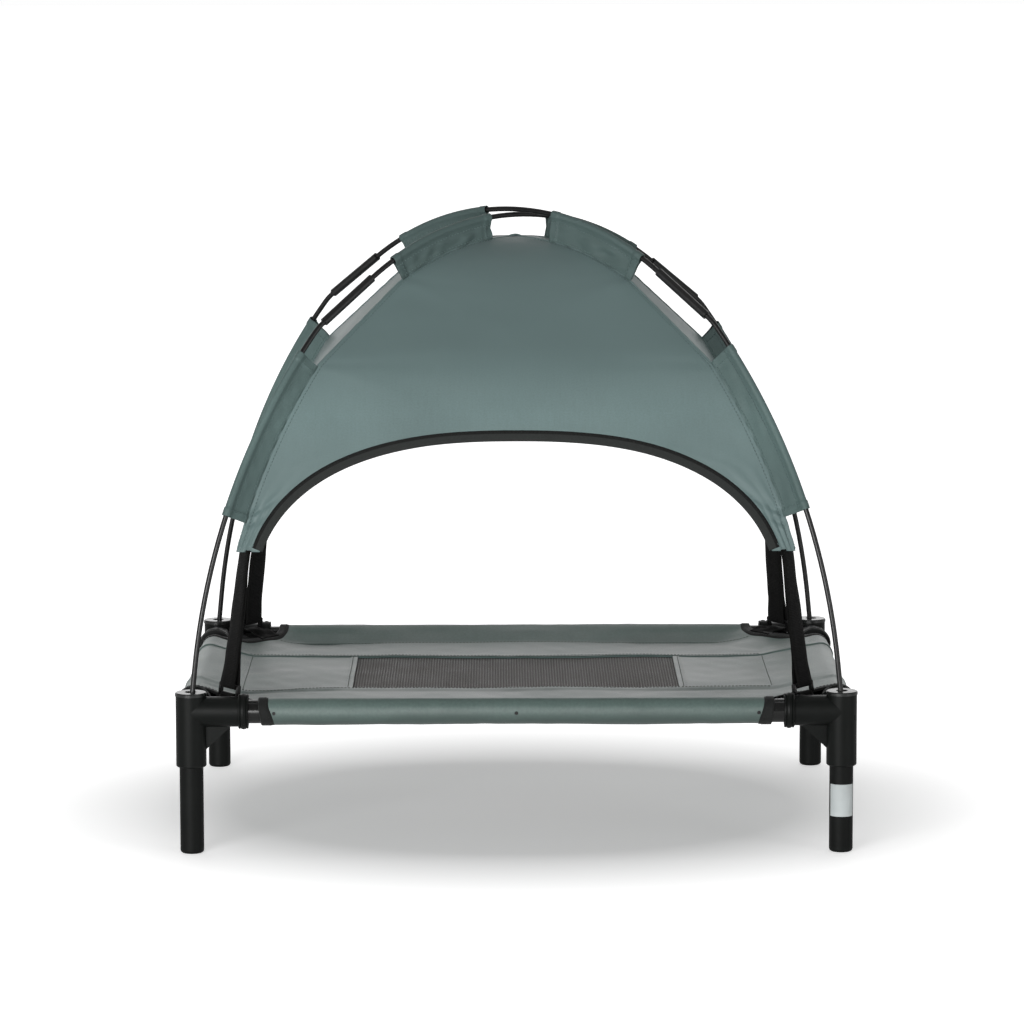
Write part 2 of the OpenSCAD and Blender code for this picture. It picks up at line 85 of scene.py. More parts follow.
TABLE_STEP, BEND_SPREAD = 0.0004, 0.055


def running_total(steps):
    return np.concatenate([[0], np.cumsum(steps)])


def distance_along(points):
    return running_total(np.linalg.norm(np.diff(points, axis=0), axis=1))


def pole_table():
    """Arc length, distance from the centre, height and slope, densely along one arm of the pole curve."""
    stretches = [(CROWN_R * CROWN_A, 0, CROWN_A), (FERRULE_L, CROWN_A, CROWN_A),
                 (SHOULDER_R * (FLANK_A - CROWN_A), CROWN_A, FLANK_A),
                 (FLANK_R * (FOOT_A - FLANK_A), FLANK_A, FOOT_A), (FOOT_L, FOOT_A, FOOT_A)]
    q, a = [0.0], [0.0]
    for length, a0, a1 in stretches:
        n = max(2, int(length / TABLE_STEP))
        q += list(q[-1] + length * np.arange(1, n + 1) / n)
        a += list(a0 + (a1 - a0) * np.arange(1, n + 1) / n)
    q, a = np.array(q), np.array(a)
    step, mid = np.diff(q), (a[1:] + a[:-1]) / 2
    return q, running_total(step * np.cos(mid)), APEX_Z - running_total(step * np.sin(mid)), a


TQ, TS, TZ, TA = pole_table()
RS, RZ = TS - RIDGE_DROP * np.sin(TA), TZ - RIDGE_DROP * np.cos(TA)   # the canopy's ridge


def ridge_q(z):
    """Arc length at which the ridge is at height z."""
    return np.interp(-z, -RZ, TQ)


def ridge_at(q):
    """Distance from the centre, height and slope of the canopy's ridge at arc length q."""
    return np.interp(q, TQ, RS), np.interp(q, TQ, RZ), np.interp(q, TQ, TA)


def pole_at(q, dz):
    """Distance from the centre, height and slope of a pole at arc length q, raised by dz."""
    return np.interp(q, TQ, TS), np.interp(q, TQ, TZ) + dz, np.interp(q, TQ, TA)


def slope_to_q(degrees):
    return float(np.interp(math.radians(degrees), TA, TQ))


def pole_dz(sx, sy):
    """One pole crosses a little under the common curve, the other a little over it."""
    return (-1 if sx * sy > 0 else 1) * CROSSING_GAP / 2


Q_TIP = float(ridge_q(HEM_Z))

# Spans of the pole sleeves; between them the canopy's ridge is a straight, taut edge
UPPER = (slope_to_q(6.6), slope_to_q(29.6))
LOWER = (slope_to_q(51.4), slope_to_q(68.4))
taut = np.array([UPPER[1] + 0.0065, LOWER[0]])
free = (TQ > taut[0]) & (TQ < taut[1])
for table in (RS, RZ):
    table[free] = np.interp(TQ[free], taut, np.interp(taut, TQ, table))


def softened(table, odd):
    """The ridge table with its bends spread out to each side, for the middle of the panels."""
    step, beyond = 0.0005, 400
    q = np.arange(-beyond, int(TQ[-1] / step) + beyond) * step
    v = np.interp(np.abs(q), TQ, table) * (np.sign(q) if odd else 1)
    end = q > TQ[-1]
    v[end] = table[-1] + (q[end] - TQ[-1]) * (table[-1] - table[-beyond]) / (TQ[-1] - TQ[-beyond])
    w = np.exp(-np.linspace(-2.2, 2.2, 2 * int(BEND_SPREAD / step) + 1) ** 2)
    return np.interp(TQ, q, np.convolve(v, w / w.sum(), "same"))


SOFT_S, SOFT_Z = softened(RS, True), softened(RZ, False)

# ---------- meshes ----------
# A shape is (vertices, faces, cloth map); the map gives each vertex its place on the flat cloth.

WAVE_COUNT, WELD_REACH = 9, 0.00002
STITCH_PITCH, STITCH_LIFT, STITCH_SIDES = 0.0034, 0.00012, 5
# one stitch from end to end: place, radius and drop, as shares of its length and width
STITCH_RINGS = ((-0.5, 0.25, -0.6), (-0.28, 0.85, 0), (0.28, 0.85, 0), (0.5, 0.25, -0.6))


def waves(p, length, seed):
    """Smooth, repeatable unevenness of about unit size at points p, with the given wavelength."""
    rng = np.random.default_rng(seed)
    p = np.asarray(p, float)
    out = np.zeros(p.shape[:-1])
    for _ in range(WAVE_COUNT):
        d = rng.normal(size=p.shape[-1])
        d *= 2 * math.pi / (length * rng.uniform(0.7, 1.5)) / np.linalg.norm(d)
        out += np.sin(p @ d + rng.uniform(0, 2 * math.pi))
    return out / math.sqrt(WAVE_COUNT / 2) / 1.6


def add_mesh(name, shape, material, body, thick=0.0, weld=False):
    """A smooth-shaded piece on its body. thick gives a sheet two sides; weld first joins blocks that meet."""
    verts, faces, cloth = shape
    me = bpy.data.meshes.new(name)
    points = [tuple(v) for v in np.asarray(verts).reshape(-1, 3)]
    me.from_pydata(points, [], [tuple(map(int, f)) for f in faces])
    layer = me.uv_layers.new(name="cloth")
    index = np.zeros(len(me.loops), int)
    me.loops.foreach_get("vertex_index", index)
    layer.data.foreach_set("uv", np.asarray(cloth, float).reshape(-1, 2)[index].astype(np.float32).ravel())
    me.validate()
    me.polygons.foreach_set("use_smooth", [True] * len(me.polygons))
    o = bpy.data.objects.new(name, me)
    bpy.context.scene.collection.objects.link(o)
    me.materials.append(material)
    if weld:
        o.modifiers.new("weld", "WELD").merge_threshold = WELD_REACH
    if thick:
        solid = o.modifiers.new("thickness", "SOLIDIFY")
        solid.thickness, solid.offset, solid.use_even_offset = thick, 0, not weld
        apply_modifiers(o)
    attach(o, body)
    return o


def apply_modifiers(o):
    """Leaves the modifiers' result as the object's own mesh."""
    bpy.context.view_layer.update()
    made = bpy.data.meshes.new_from_object(o.evaluated_get(bpy.context.evaluated_depsgraph_get()))
    old = o.data
    o.modifiers.clear()
    o.data = made
    made.name = o.name
    bpy.data.meshes.remove(old)


def grid_faces(n, m, closed=False, flip=False):
    """Quads of an n by m block of vertices. closed joins its last column to its first."""
    i, j = np.meshgrid(np.arange(n - 1), np.arange(m if closed else m - 1), indexing="ij")
    k = (j + 1) % m
    f = np.stack([i * m + j, i * m + k, (i + 1) * m + k, (i + 1) * m + j], -1).reshape(-1, 4)
    return f[:, ::-1] if flip else f


def cloth_map(t, w):
    return np.stack(np.meshgrid(t, w, indexing="ij"), -1)


def loft(rings):
    """Vertices and faces of a closed tube through rings of points, (n, m, 3), with a cap at each end."""
    rings = np.asarray(rings)
    n, m = rings.shape[:2]
    faces = [tuple(f) for f in grid_faces(n, m, closed=True)]
    faces.append(tuple(range(m))[::-1])
    faces.append(tuple((n - 1) * m + k for k in range(m)))
    return rings.reshape(-1, 3), faces


def merge(parts):
    """One shape from several. A part without a cloth map gets zeros."""
    verts, faces, maps, base = [], [], [], 0
    for part in parts:
        v, f = np.asarray(part[0]).reshape(-1, 3), part[1]
        verts.append(v)
        faces += [tuple(int(x) + base for x in q) for q in f]
        maps.append(np.asarray(part[2]).reshape(-1, 2) if len(part) > 2 else np.zeros((len(v), 2)))
        base += len(v)
    return np.concatenate(verts), faces, np.concatenate(maps)


def unit(v):
    v = np.asarray(v, float)
    return v / np.maximum(np.linalg.norm(v, axis=-1, keepdims=True), 1e-12)


def ease(x):
    """From 0 to 1 as x does, level at both ends."""
    x = np.clip(x, 0, 1)
    return x * x * (3 - 2 * x)


def read_at(where, t, values):
    """Vectors known at t along a line, read at other places on it."""
    return np.stack([np.interp(where, t, values[:, k]) for k in range(3)], 1)


def stitches(points, normals, length=0.0024, width=0.00048):
    """A row of thread stitches lying on a surface along a polyline."""
    points, normals = np.asarray(points, float), unit(normals)
    t = distance_along(points)
    at = np.arange(STITCH_PITCH / 2, t[-1], STITCH_PITCH)
    centres = read_at(at, t, points)
    where, t = at / t[-1], t / t[-1]
    n = unit(read_at(where, t, normals))
    ahead, behind = (read_at(np.clip(where + near, 0, 1), t, points) for near in (0.002, -0.002))
    d = unit(ahead - behind)
    side = unit(np.cross(n, d))
    ring = [(math.cos(k), math.sin(k)) for k in np.arange(STITCH_SIDES) * 2 * math.pi / STITCH_SIDES]
    parts = []
    for c, nn, dd, ss in zip(centres, n, d, side):
        parts.append(loft([[c + dd * length * x + nn * (STITCH_LIFT + width * (r * sn * 0.8 + drop))
                            + ss * width * r * cs for cs, sn in ring] for x, r, drop in STITCH_RINGS]))
    return merge(parts)


def tube(points, radii, t, sides, step):
    """A closed tube of changing radius along a polyline. t along it and step round it give its cloth map."""
    p = np.asarray(points, float)
    d = unit(np.gradient(p, axis=0))
    a = unit(np.cross(d, UP))
    b = np.cross(a, d)
    r = np.broadcast_to(np.asarray(radii, float), (len(p),))[:, None, None]
    k = np.arange(sides) * 2 * math.pi / sides
    rings = p[:, None] + r * (a[:, None] * np.cos(k)[None, :, None] + b[:, None] * np.sin(k)[None, :, None])
    return (*loft(rings), cloth_map(t, np.arange(sides) * step))


def folded_tape(cuts, thick):
    """A tape folded over a cloth's edge. cuts are lines of points and normals, from the edge inwards."""
    edge, normals = (np.stack(lines, 1) for lines in zip(*cuts))
    normals = unit(normals)
    rows = range(len(cuts))
    out, n0 = unit(edge[:, 0] - edge[:, 1]), normals[:, 0]
    bulge = [edge[:, 0] + n0 * thick * 0.75 + out * thick * 0.6, edge[:, 0] + out * thick,
             edge[:, 0] - n0 * thick * 0.75 + out * thick * 0.6]
    height = [thick if k < rows[-1] else thick * 0.55 for k in rows]
    top = [edge[:, k] + normals[:, k] * height[k] for k in rows[::-1]]
    low = [edge[:, k] - normals[:, k] * height[k] for k in rows]
    rings = np.stack(top + bulge + low, 1)
    return (*loft(rings), cloth_map(distance_along(edge[:, 0]), distance_along(rings[len(rings) // 2])))


# ---------- materials ----------

WAVE_REPEAT = 0.314159   # length after which a wave texture of scale 1 repeats


class Nodes:
    """Short helper for building the nodes of a material or a world."""

    def __init__(self, owner):
        owner.use_nodes = True
        self.owner, self.tree = owner, owner.node_tree
        self.bsdf = self.tree.nodes.get("Principled BSDF")

    def add(self, kind, **values):
        n = self.tree.nodes.new(kind)
        for k, v in values.items():
            if k in n.inputs:
                n.inputs[k].default_value = v
            else:
                setattr(n, k, v)
        return n

    def link(self, a, b):
        self.tree.links.new(a, b)

    def place(self, uv=False):
        if uv:
            return self.add("ShaderNodeUVMap", uv_map="cloth").outputs["UV"]
        return self.add("ShaderNodeTexCoord").outputs["Object"]

    def noise(self, where, scale, detail=3.0, rough=0.55, stretch=None):
        if stretch:
            m = self.add("ShaderNodeMapping", Scale=stretch)
            self.link(where, m.inputs["Vector"])
            where = m.outputs["Vector"]
        n = self.add("ShaderNodeTexNoise", Scale=scale, Detail=detail, Roughness=rough)
        self.link(where, n.inputs["Vector"])
        return n.outputs["Fac"]

    def ramp(self, value, low, high, out_low=0.0, out_high=1.0):
        n = self.add("ShaderNodeMapRange")
        self.link(value, n.inputs["Value"])
        for k, v in zip(("From Min", "From Max", "To Min", "To Max"), (low, high, out_low, out_high)):
            n.inputs[k].default_value = v
        return n.outputs["Result"]

    def wave(self, where, axis, period):
        n = self.add("ShaderNodeTexWave", wave_type="BANDS", bands_direction=axis, wave_profile="SIN",
                     Scale=WAVE_REPEAT / period, Distortion=0)
        self.link(where, n.inputs["Vector"])
        return n.outputs["Fac"]

    def axis(self, where, name):
        n = self.add("ShaderNodeSeparateXYZ")
        self.link(where, n.inputs[0])
        return n.outputs[name]

    def math(self, op, a, b):
        n = self.add("ShaderNodeMath", operation=op)
        for k, v in enumerate((a, b)):
            if isinstance(v, (int, float)):
                n.inputs[k].default_value = v
            else:
                self.link(v, n.inputs[k])
        return n.outputs["Value"]

    def total(self, a, share_a, b, share_b):
        """a and b added, each multiplied by its share."""
        return self.math("ADD", self.math("MULTIPLY", a, share_a), self.math("MULTIPLY", b, share_b))

    def blend(self, first, fac, second):
        """From first, a colour or a socket, to the colour second."""
        n = self.add("ShaderNodeMix", data_type="RGBA")
        self.link(fac, n.inputs[0])
        if isinstance(first, tuple):
            n.inputs[6].default_value = (*first, 1)
        else:
            self.link(first, n.inputs[6])
        n.inputs[7].default_value = (*second, 1)
        return n.outputs[2]

    def bump(self, height, strength, distance):
        n = self.add("ShaderNodeBump", Strength=strength, Distance=distance)
        self.link(height, n.inputs["Height"])
        return n.outputs["Normal"]

    def done(self, colour, rough, normal, **fixed):
        self.link(colour, self.bsdf.inputs["Base Color"])
        self.link(rough, self.bsdf.inputs["Roughness"])
        self.link(normal, self.bsdf.inputs["Normal"])
        for k, v in fixed.items():
            self.bsdf.inputs[k.replace("_", " ")].default_value = v
        return self.owner


def shade(c, k):
    return tuple(x * k for x in c)


def woven(name, base, period, grain, rough, strength, sheen, spec, painted_shades):
    """Plain weave: warp and weft on the cloth's own map, with yarn unevenness and slow colour drift.
    Each entry paints shade: it darkens the cloth between two heights where the lighting leaves it darker:
    (start, end, brightness)."""
    n = Nodes(bpy.data.materials.new(name))
    uv, obj = n.place(uv=True), n.place()
    weave = n.math("MULTIPLY", n.math("ADD", n.wave(uv, "X", period), n.wave(uv, "Y", period)), 0.5)
    fine, slow = n.noise(uv, 1 / (period * 3.2), 2.0), n.noise(obj, 9.0, 4.0)
    slub = n.noise(uv, 1 / (period * 6), 2.0, stretch=(1, 0.12, 1))
    fac = n.ramp(n.total(n.total(fine, grain, slow, 1 - grain), 0.85, slub, 0.15), 0.32, 0.68)
    col = n.blend(shade(base, 0.82), fac, shade(base, 1.16))
    level = n.math("ADD", n.axis(obj, "Z"), n.math("MULTIPLY", slow, 0.02))
    # painted shade by height: a darker tint where less light falls
    for start, end, amount in painted_shades:
        col = n.blend(col, n.ramp(level, start, end), shade(base, amount))
    normal = n.bump(n.total(weave, 0.7, fine, 0.5), strength, period * 0.35)
    return n.done(col, n.ramp(slow, 0.3, 0.7, *rough), normal,
                  Sheen_Weight=sheen, Sheen_Roughness=0.45, Specular_IOR_Level=spec)


def ribbed(name, base, pitch, rough=0.75, strength=0.6, sheen=0.1, spec=0.3, edge=None):
    """Webbing, tape, thread or net: ribs across its length, finer yarns along it.
    A folded tape may have a dark strip along its seam, edge wide: a painted shadow of the fold."""
    n = Nodes(bpy.data.materials.new(name))
    uv, obj = n.place(uv=True), n.place()
    rib, yarn = n.wave(uv, "X", pitch), n.wave(uv, "Y", pitch * 0.7)
    fuzz, slow = n.noise(uv, 1 / (pitch * 1.5), 3.0), n.noise(obj, 30.0, 3.0)
    height = n.total(rib, yarn, fuzz, 0.6)
    col = n.blend(shade(base, 0.6), n.ramp(n.total(height, 0.5, slow, 0.5), 0.2, 1.0), shade(base, 1.5))
    if edge:
        # painted shadow: a dark strip along the seam side of the tape
        col = n.blend(col, n.ramp(n.axis(uv, "Y"), edge, edge * 1.3, 1, 0), shade(base, 0.2))
    dull, normal = n.ramp(slow, 0.3, 0.7, rough - 0.08, rough + 0.08), n.bump(height, strength, pitch * 0.3)
    return n.done(col, dull, normal, Sheen_Weight=sheen, Sheen_Roughness=0.4, Specular_IOR_Level=spec)


def moulded(name, base, rough, grain_size, grain=0.12, spec=0.5):
    """Moulded plastic: fine grain, handling marks and a little pale dust."""
    n = Nodes(bpy.data.materials.new(name))
    obj = n.place()
    grains, slow = n.noise(obj, 1 / grain_size, 2.0), n.noise(obj, 18.0, 4.0)
    marks = n.noise(obj, 60.0, 5.0, 0.7, stretch=(1, 1, 0.25))
    col = n.blend(shade(base, 0.85), n.ramp(slow, 0.3, 0.7), shade(base, 1.2))
    col = n.blend(col, n.ramp(marks, 0.62, 0.8, 0, 0.3), shade(base, 2.2))
    dull = n.ramp(n.total(marks, 0.5, slow, 0.5), 0.3, 0.7, rough - 0.06, rough + 0.08)
    return n.done(col, dull, n.bump(grains, grain, grain_size * 0.4), Specular_IOR_Level=spec)


def coated(name, base, rough, peel=0.05, spec=0.5):
    """Powder-coated or anodised tube: orange peel and faint rubbing along its length."""
    n = Nodes(bpy.data.materials.new(name))
    obj = n.place()
    skin, slow, rub = n.noise(obj, 900.0, 1.5), n.noise(obj, 22.0, 3.0), n.noise(obj, 160.0, 4.0, 0.7)
    col = n.blend(shade(base, 0.85), n.ramp(slow, 0.3, 0.7), shade(base, 1.2))
    col = n.blend(col, n.ramp(rub, 0.66, 0.8, 0, 0.25), shade(base, 2.5))
    dull = n.ramp(rub, 0.3, 0.7, rough - 0.05, rough + 0.08)
    return n.done(col, dull, n.bump(skin, peel, 0.0002), Specular_IOR_Level=spec)


# the fades are painted shade: canopy and sleeves darker towards their tops and bottoms, the sling darker on
# its rolls below the rail tops
M_CANOPY = woven("canopy_cloth_green", (0.140, 0.208, 0.205), 0.00055, 0.45, rough=(0.50, 0.60),
                 strength=0.25, sheen=0.12, spec=0.5, painted_shades=((0.41, 0.47, 0.80), (0.41, 0.35, 0.86)))
M_SLEEVE = woven("sleeve_cloth_green", (0.108, 0.167, 0.160), 0.00055, 0.45, rough=(0.55, 0.65),
                 strength=0.3, sheen=0.08, spec=0.4, painted_shades=((0.40, 0.50, 0.68), (0.41, 0.35, 0.78)))
M_SLING = woven("sling_cloth_green", (0.086, 0.133, 0.119), 0.0009, 0.6, rough=(0.42, 0.52),
                strength=0.4, sheen=0.12, spec=0.85, painted_shades=((0.145, 0.135, 0.62),))
M_MESH = ribbed("mesh_brown_grey", (0.105, 0.098, 0.092), 0.0007, rough=0.6, strength=0.4)
# the arch binding's edge strip is a painted shadow along its seam
M_TAPE = ribbed("binding_charcoal", (0.025, 0.028, 0.0265), 0.0012, edge=0.0029)
M_TAPE_BED = ribbed("bed_binding_black", (0.010, 0.011, 0.0105), 0.0012)
M_WEB = ribbed("webbing_black", (0.0042, 0.0042, 0.0040), 0.0015, rough=0.78, sheen=0.02, spec=0.12)
M_THREAD = ribbed("thread_green", (0.120, 0.178, 0.172), 0.0004, strength=0.3)
M_THREAD_BED = ribbed("thread_bed_green", (0.085, 0.105, 0.098), 0.0004, strength=0.3)
M_THREAD_DARK = ribbed("thread_charcoal", (0.010, 0.011, 0.010), 0.0004, strength=0.3)
M_PLASTIC = moulded("connector_plastic_black", (0.0062, 0.0072, 0.0066), 0.42, 0.0006, spec=0.14)
M_CAP = moulded("cap_plastic_black", (0.0095, 0.0105, 0.0100), 0.26, 0.0005, grain=0.05, spec=0.6)
M_RING = moulded("ring_plastic_black", (0.007, 0.007, 0.007), 0.24, 0.0004, grain=0.04)
M_STEEL = coated("powder_coat_black", (0.0075, 0.0078, 0.0075), 0.15)
M_LEG = coated("leg_coat_black", (0.0058, 0.0066, 0.0061), 0.5, spec=0.14)
M_POLE = coated("pole_rod_black", (0.007, 0.007, 0.007), 0.33, peel=0.03)
M_FERRULE = coated("ferrule_black", (0.010, 0.010, 0.010), 0.34, peel=0.02)
M_SCREW = coated("screw_black", (0.012, 0.012, 0.012), 0.35)
M_LABEL = moulded("label_blank_white", (0.50, 0.54, 0.54), 0.5, 0.0008, grain=0.03)
M_CORD = moulded("elastic_cord_grey", (0.04, 0.04, 0.04), 0.7, 0.0006, grain=0.4)

FINISH = {"connector_plastic": M_PLASTIC, "cap_plastic": M_CAP, "coated_steel": M_STEEL,
          "screw_steel": M_SCREW, "label_vinyl": M_LABEL, "pole_glassfibre": M_POLE,
          "ferrule_metal": M_FERRULE, "elastic_cord": M_CORD}


def finish_of(part):
    """The material of a hard subcomponent; None for a soft one."""
    if part["node"] == "strap_rings":
        return M_RING
    if part["node"].startswith(("leg_f", "leg_b")):
        return M_LEG
    return FINISH.get(part["material_slot"])


for part in frame["record"]["subparts"]:
    finish = finish_of(part)
    if finish:
        for s in frame["nodes"][part["node"]].material_slots:
            s.link = "OBJECT"
            s.material = finish

# ---------- camera, light, floor ----------

# matched to the photo: place, focal length, then turn, tilt and roll in degrees
CAMERA_PLACE, CAMERA_LENS = (-0.01436, -4.47028, 0.88827), 164.69
TURN, TILT, ROLL = -0.144, 90 - 7.647, -0.113


def rotation(degrees, axis):
    return Matrix.Rotation(math.radians(degrees), 4, axis)


camera = bpy.data.objects.new("camera", bpy.data.cameras.new("camera"))
bpy.context.scene.collection.objects.link(camera)
camera.data.sensor_width, camera.data.lens = 36, CAMERA_LENS
camera.data.clip_start, camera.data.clip_end = 0.1, 100
camera.matrix_world = (Matrix.Translation(CAMERA_PLACE) @ rotation(TURN, "Z") @ rotation(TILT, "X")
                       @ rotation(ROLL, "Z"))
bpy.context.scene.camera = camera
bpy.context.scene.view_settings.view_transform = "Standard"


def area_light(name, place, target, size, watts):
    light = bpy.data.lights.new(name, "AREA")
    light.shape, light.size, light.energy = "DISK", size, watts
    o = bpy.data.objects.new(name, light)
    bpy.context.scene.collection.objects.link(o)
    o.location = place
    o.rotation_euler = (Vector(target) - Vector(place)).to_track_quat("-Z", "Y").to_euler()


area_light("key", (-1.3, -3.1, 0.62), (0, 0, 0.32), 2.0, 88)
area_light("overhead", (0.1, 0.2, 2.9), (0, 0, 0.2), 1.0, 3)
area_light("fill", (2.4, -2.2, 0.7), (0, 0, 0.3), 1.4, 15)

# low even light, with a bright backdrop behind the cot; the camera itself sees plain white
world = Nodes(bpy.data.worlds.new("studio"))
bpy.context.scene.world = world.owner
world.tree.nodes.clear()
lit = world.add("ShaderNodeBackground", Color=(1, 1, 1, 1))
seen = world.add("ShaderNodeBackground", Color=(0.99, 0.99, 0.99, 1))
mix, out = world.add("ShaderNodeMixShader"), world.add("ShaderNodeOutputWorld")
direction = world.axis(world.add("ShaderNodeTexCoord").outputs["Generated"], "Y")
world.link(world.ramp(direction, 0.55, 0.95, 0.17, 1.6), lit.inputs["Strength"])
world.link(world.add("ShaderNodeLightPath").outputs["Is Camera Ray"], mix.inputs["Fac"])
world.link(lit.outputs[0], mix.inputs[1])
world.link(seen.outputs[0], mix.inputs[2])
world.link(mix.outputs[0], out.inputs["Surface"])

# the camera sees a white floor with a grey oval under the cot, a painted shadow where the floor's glow is
# dimmer; its light comes mostly from behind, where the floor glows to light the cot
FLOOR_HALF, SHADOW_OVAL_X, SHADOW_OVAL_Y = 30, 0.36, 0.30
n = Nodes(bpy.data.materials.new("floor_white"))
squash = n.add("ShaderNodeMapping", Scale=(1 / SHADOW_OVAL_X, 1 / SHADOW_OVAL_Y, 1))
n.link(n.place(), squash.inputs["Vector"])
far = n.add("ShaderNodeVectorMath", operation="LENGTH")
n.link(squash.outputs["Vector"], far.inputs[0])
# painted shadow: the floor's glow seen by the camera is dim in the oval under the cot and rises to white
# farther off
white = n.ramp(far.outputs["Value"], 0.75, 1.65, 0.235, 1.0)
# glow standing in for light: for other rays the floor glows behind the cot and lights it from there
behind = n.ramp(n.axis(n.place(), "Y"), 1.2, 2.5, 0.15, 1.2)
pick = n.add("ShaderNodeMix", data_type="FLOAT")
n.link(n.add("ShaderNodeLightPath").outputs["Is Camera Ray"], pick.inputs[0])
n.link(behind, pick.inputs[2])
n.link(white, pick.inputs[3])
n.link(pick.outputs[0], n.bsdf.inputs["Emission Strength"])
for key, value in (("Base Color", (0.8, 0.8, 0.8, 1)), ("Roughness", 0.9), ("Specular IOR Level", 0.2),
                   ("Emission Color", (1, 1, 1, 1))):
    n.bsdf.inputs[key].default_value = value
floor_mesh = bpy.data.meshes.new("floor")
floor_corners = [(x * FLOOR_HALF, y * FLOOR_HALF, 0) for x, y in ((-1, -1), (1, -1), (1, 1), (-1, 1))]
floor_mesh.from_pydata(floor_corners, [], [(0, 1, 2, 3)])
floor_mesh.materials.append(n.owner)
floor = bpy.data.objects.new("floor", floor_mesh)
bpy.context.scene.collection.objects.link(floor)

# ---------- canopy: one sheet over four panels ----------

ARCH_Z, ARCH_HALF, ARCH_RISE, ARCH_N, BAND = 0.215, 0.253, 0.1712, 2.5, 0.009
# half-width of the arch, as a share, at shares of its rise
RISE_SHARES, WIDTH_SHARES = np.array([0, 0.36, 0.6, 0.8, 1]), np.array([1, 0.967, 0.88, 0.71, 0.0])
# by side, 0 front, 1 right, 2 back, 3 left: a panel's own x direction, and outwards
ALONG, OUTWARD = ((1, 0), (0, 1), (-1, 0), (0, -1)), ((0, -1), (1, 0), (0, 1), (-1, 0))
# creases from the ends of the sleeves: start on the ridge, direction, reach and height
CREASES = [(start, math.radians(degrees), reach, height) for start, degrees, reach, height in (
    (UPPER[1], 8, 0.05, -0.0011), (UPPER[1], 38, 0.07, 0.0007), (UPPER[0], 30, 0.05, 0.0004),
    (LOWER[0], -4, 0.06, -0.0014), (LOWER[0], 24, 0.05, 0.0008),
    (LOWER[1] - 0.004, -34, 0.05, -0.0030), (LOWER[1] + 0.007, -30, 0.03, -0.0024))]


def side_shape(side):
    """Half-width, depth and arch width factors of a panel."""
    return (COS, SIN, 1.0) if side % 2 == 0 else (SIN, COS, POST_Y / POST_X)


def arch_line(side, inset, t):
    """Arch outline moved into the opening by inset: along-panel coordinate and height at angle t."""
    half, rise = ARCH_HALF * side_shape(side)[2] - inset, ARCH_RISE - inset
    c, s = np.cos(t), np.sin(t)
    return np.sign(c) * half * np.abs(c) ** (2 / ARCH_N), ARCH_Z + rise * np.abs(s) ** (2 / ARCH_N)


def panel(side, x, q, lift=0.0):
    """Points and outward normals of a canopy panel at its own x and ridge arc length q, folds included."""
    kx, kd, kw = side_shape(side)
    x, q = np.broadcast_arrays(np.asarray(x, float), np.asarray(q, float))
    s, z, a = ridge_at(q)
    half, depth = kx * s, kd * s
    norm_d, norm_z = np.sin(a), kd * np.cos(a)
    size = np.hypot(norm_d, norm_z)
    norm_d, norm_z = norm_d / size, norm_z / size
    across = np.clip(np.abs(x) / np.maximum(half, 1e-4), 0, 1)
    from_ridge = np.maximum(half - np.abs(x), 0)
    inner = ease(from_ridge / 0.075) * ease((Q_TIP - q) / 0.12)
    depth = depth + kd * (np.interp(q, TQ, SOFT_S) - s) * inner
    soft_z = (np.interp(q, TQ, SOFT_Z) - z) * inner
    # between its ridges the stretched panel is drawn in a little
    push = -0.0042 * (1 - across ** 2) * ease(q / 0.16)
    # folds fanning out of the gathered corner, flat again at the arch
    h = np.maximum(z - HEM_Z, 0)
    opening = np.interp(z, ARCH_Z + ARCH_RISE * RISE_SHARES, ARCH_HALF * kw * WIDTH_SHARES)
    fan = np.clip(from_ridge / np.maximum(half - opening, 0.010), 0, 1.2)
    flat_edge = ease((1.1 - fan) / 0.3)
    wide = 2 * math.pi * (3.1 * fan + 0.25 * np.sign(x) + 0.6 * side) + 9 * h
    narrow = 2 * math.pi * (7.3 * fan + 0.3 * side) + 31 * h
    push = push + (0.0009 * np.sin(wide) * np.exp(-h / 0.040) * ease(fan * 4)
                   * ease(h / 0.008 + 0.35) * flat_edge)
    push = push + 0.0007 * np.sin(narrow) * np.exp(-h / 0.014) * ease(fan * 5) * flat_edge
    for start, angle, reach, height in CREASES:
        for m in (-1, 1):
            dx, dq = x * m - kx * float(ridge_at(start)[0]), q - start
            u = -dx * math.cos(angle) + dq * math.sin(angle)
            v = dx * math.sin(angle) + dq * math.cos(angle)
            w = 0.0022 + 0.07 * np.maximum(u, 0)
            push = push + (height * np.exp(-(v / w) ** 2) * np.exp(-np.maximum(u, 0) / reach)
                           * ease(u / 0.006 + 0.2) * ease(from_ridge / 0.004))
    spot = np.stack([x, q, np.full_like(x, 0.31 * side)], -1)
    calm = ease(from_ridge / 0.02)
    push = push + calm * (0.00045 * waves(spot, 0.11, 5) + 0.00013 * waves(spot, 0.035, 6))
    depth = depth + norm_d * (push + lift)
    z = z + soft_z + norm_z * (push + lift)
    along, out = ALONG[side], OUTWARD[side]
    p = np.stack([x * along[0] + depth * out[0], x * along[1] + depth * out[1], z], -1)
    return p, np.stack([norm_d * out[0], norm_d * out[1], norm_z], -1)


STATIONS = np.concatenate([np.linspace(0, 0.36, 66, endpoint=False), np.linspace(0.36, Q_TIP, 36)])
ROWS, SHEET_INSET, MAP_GAP = 44, BAND - 0.0012, 0.7


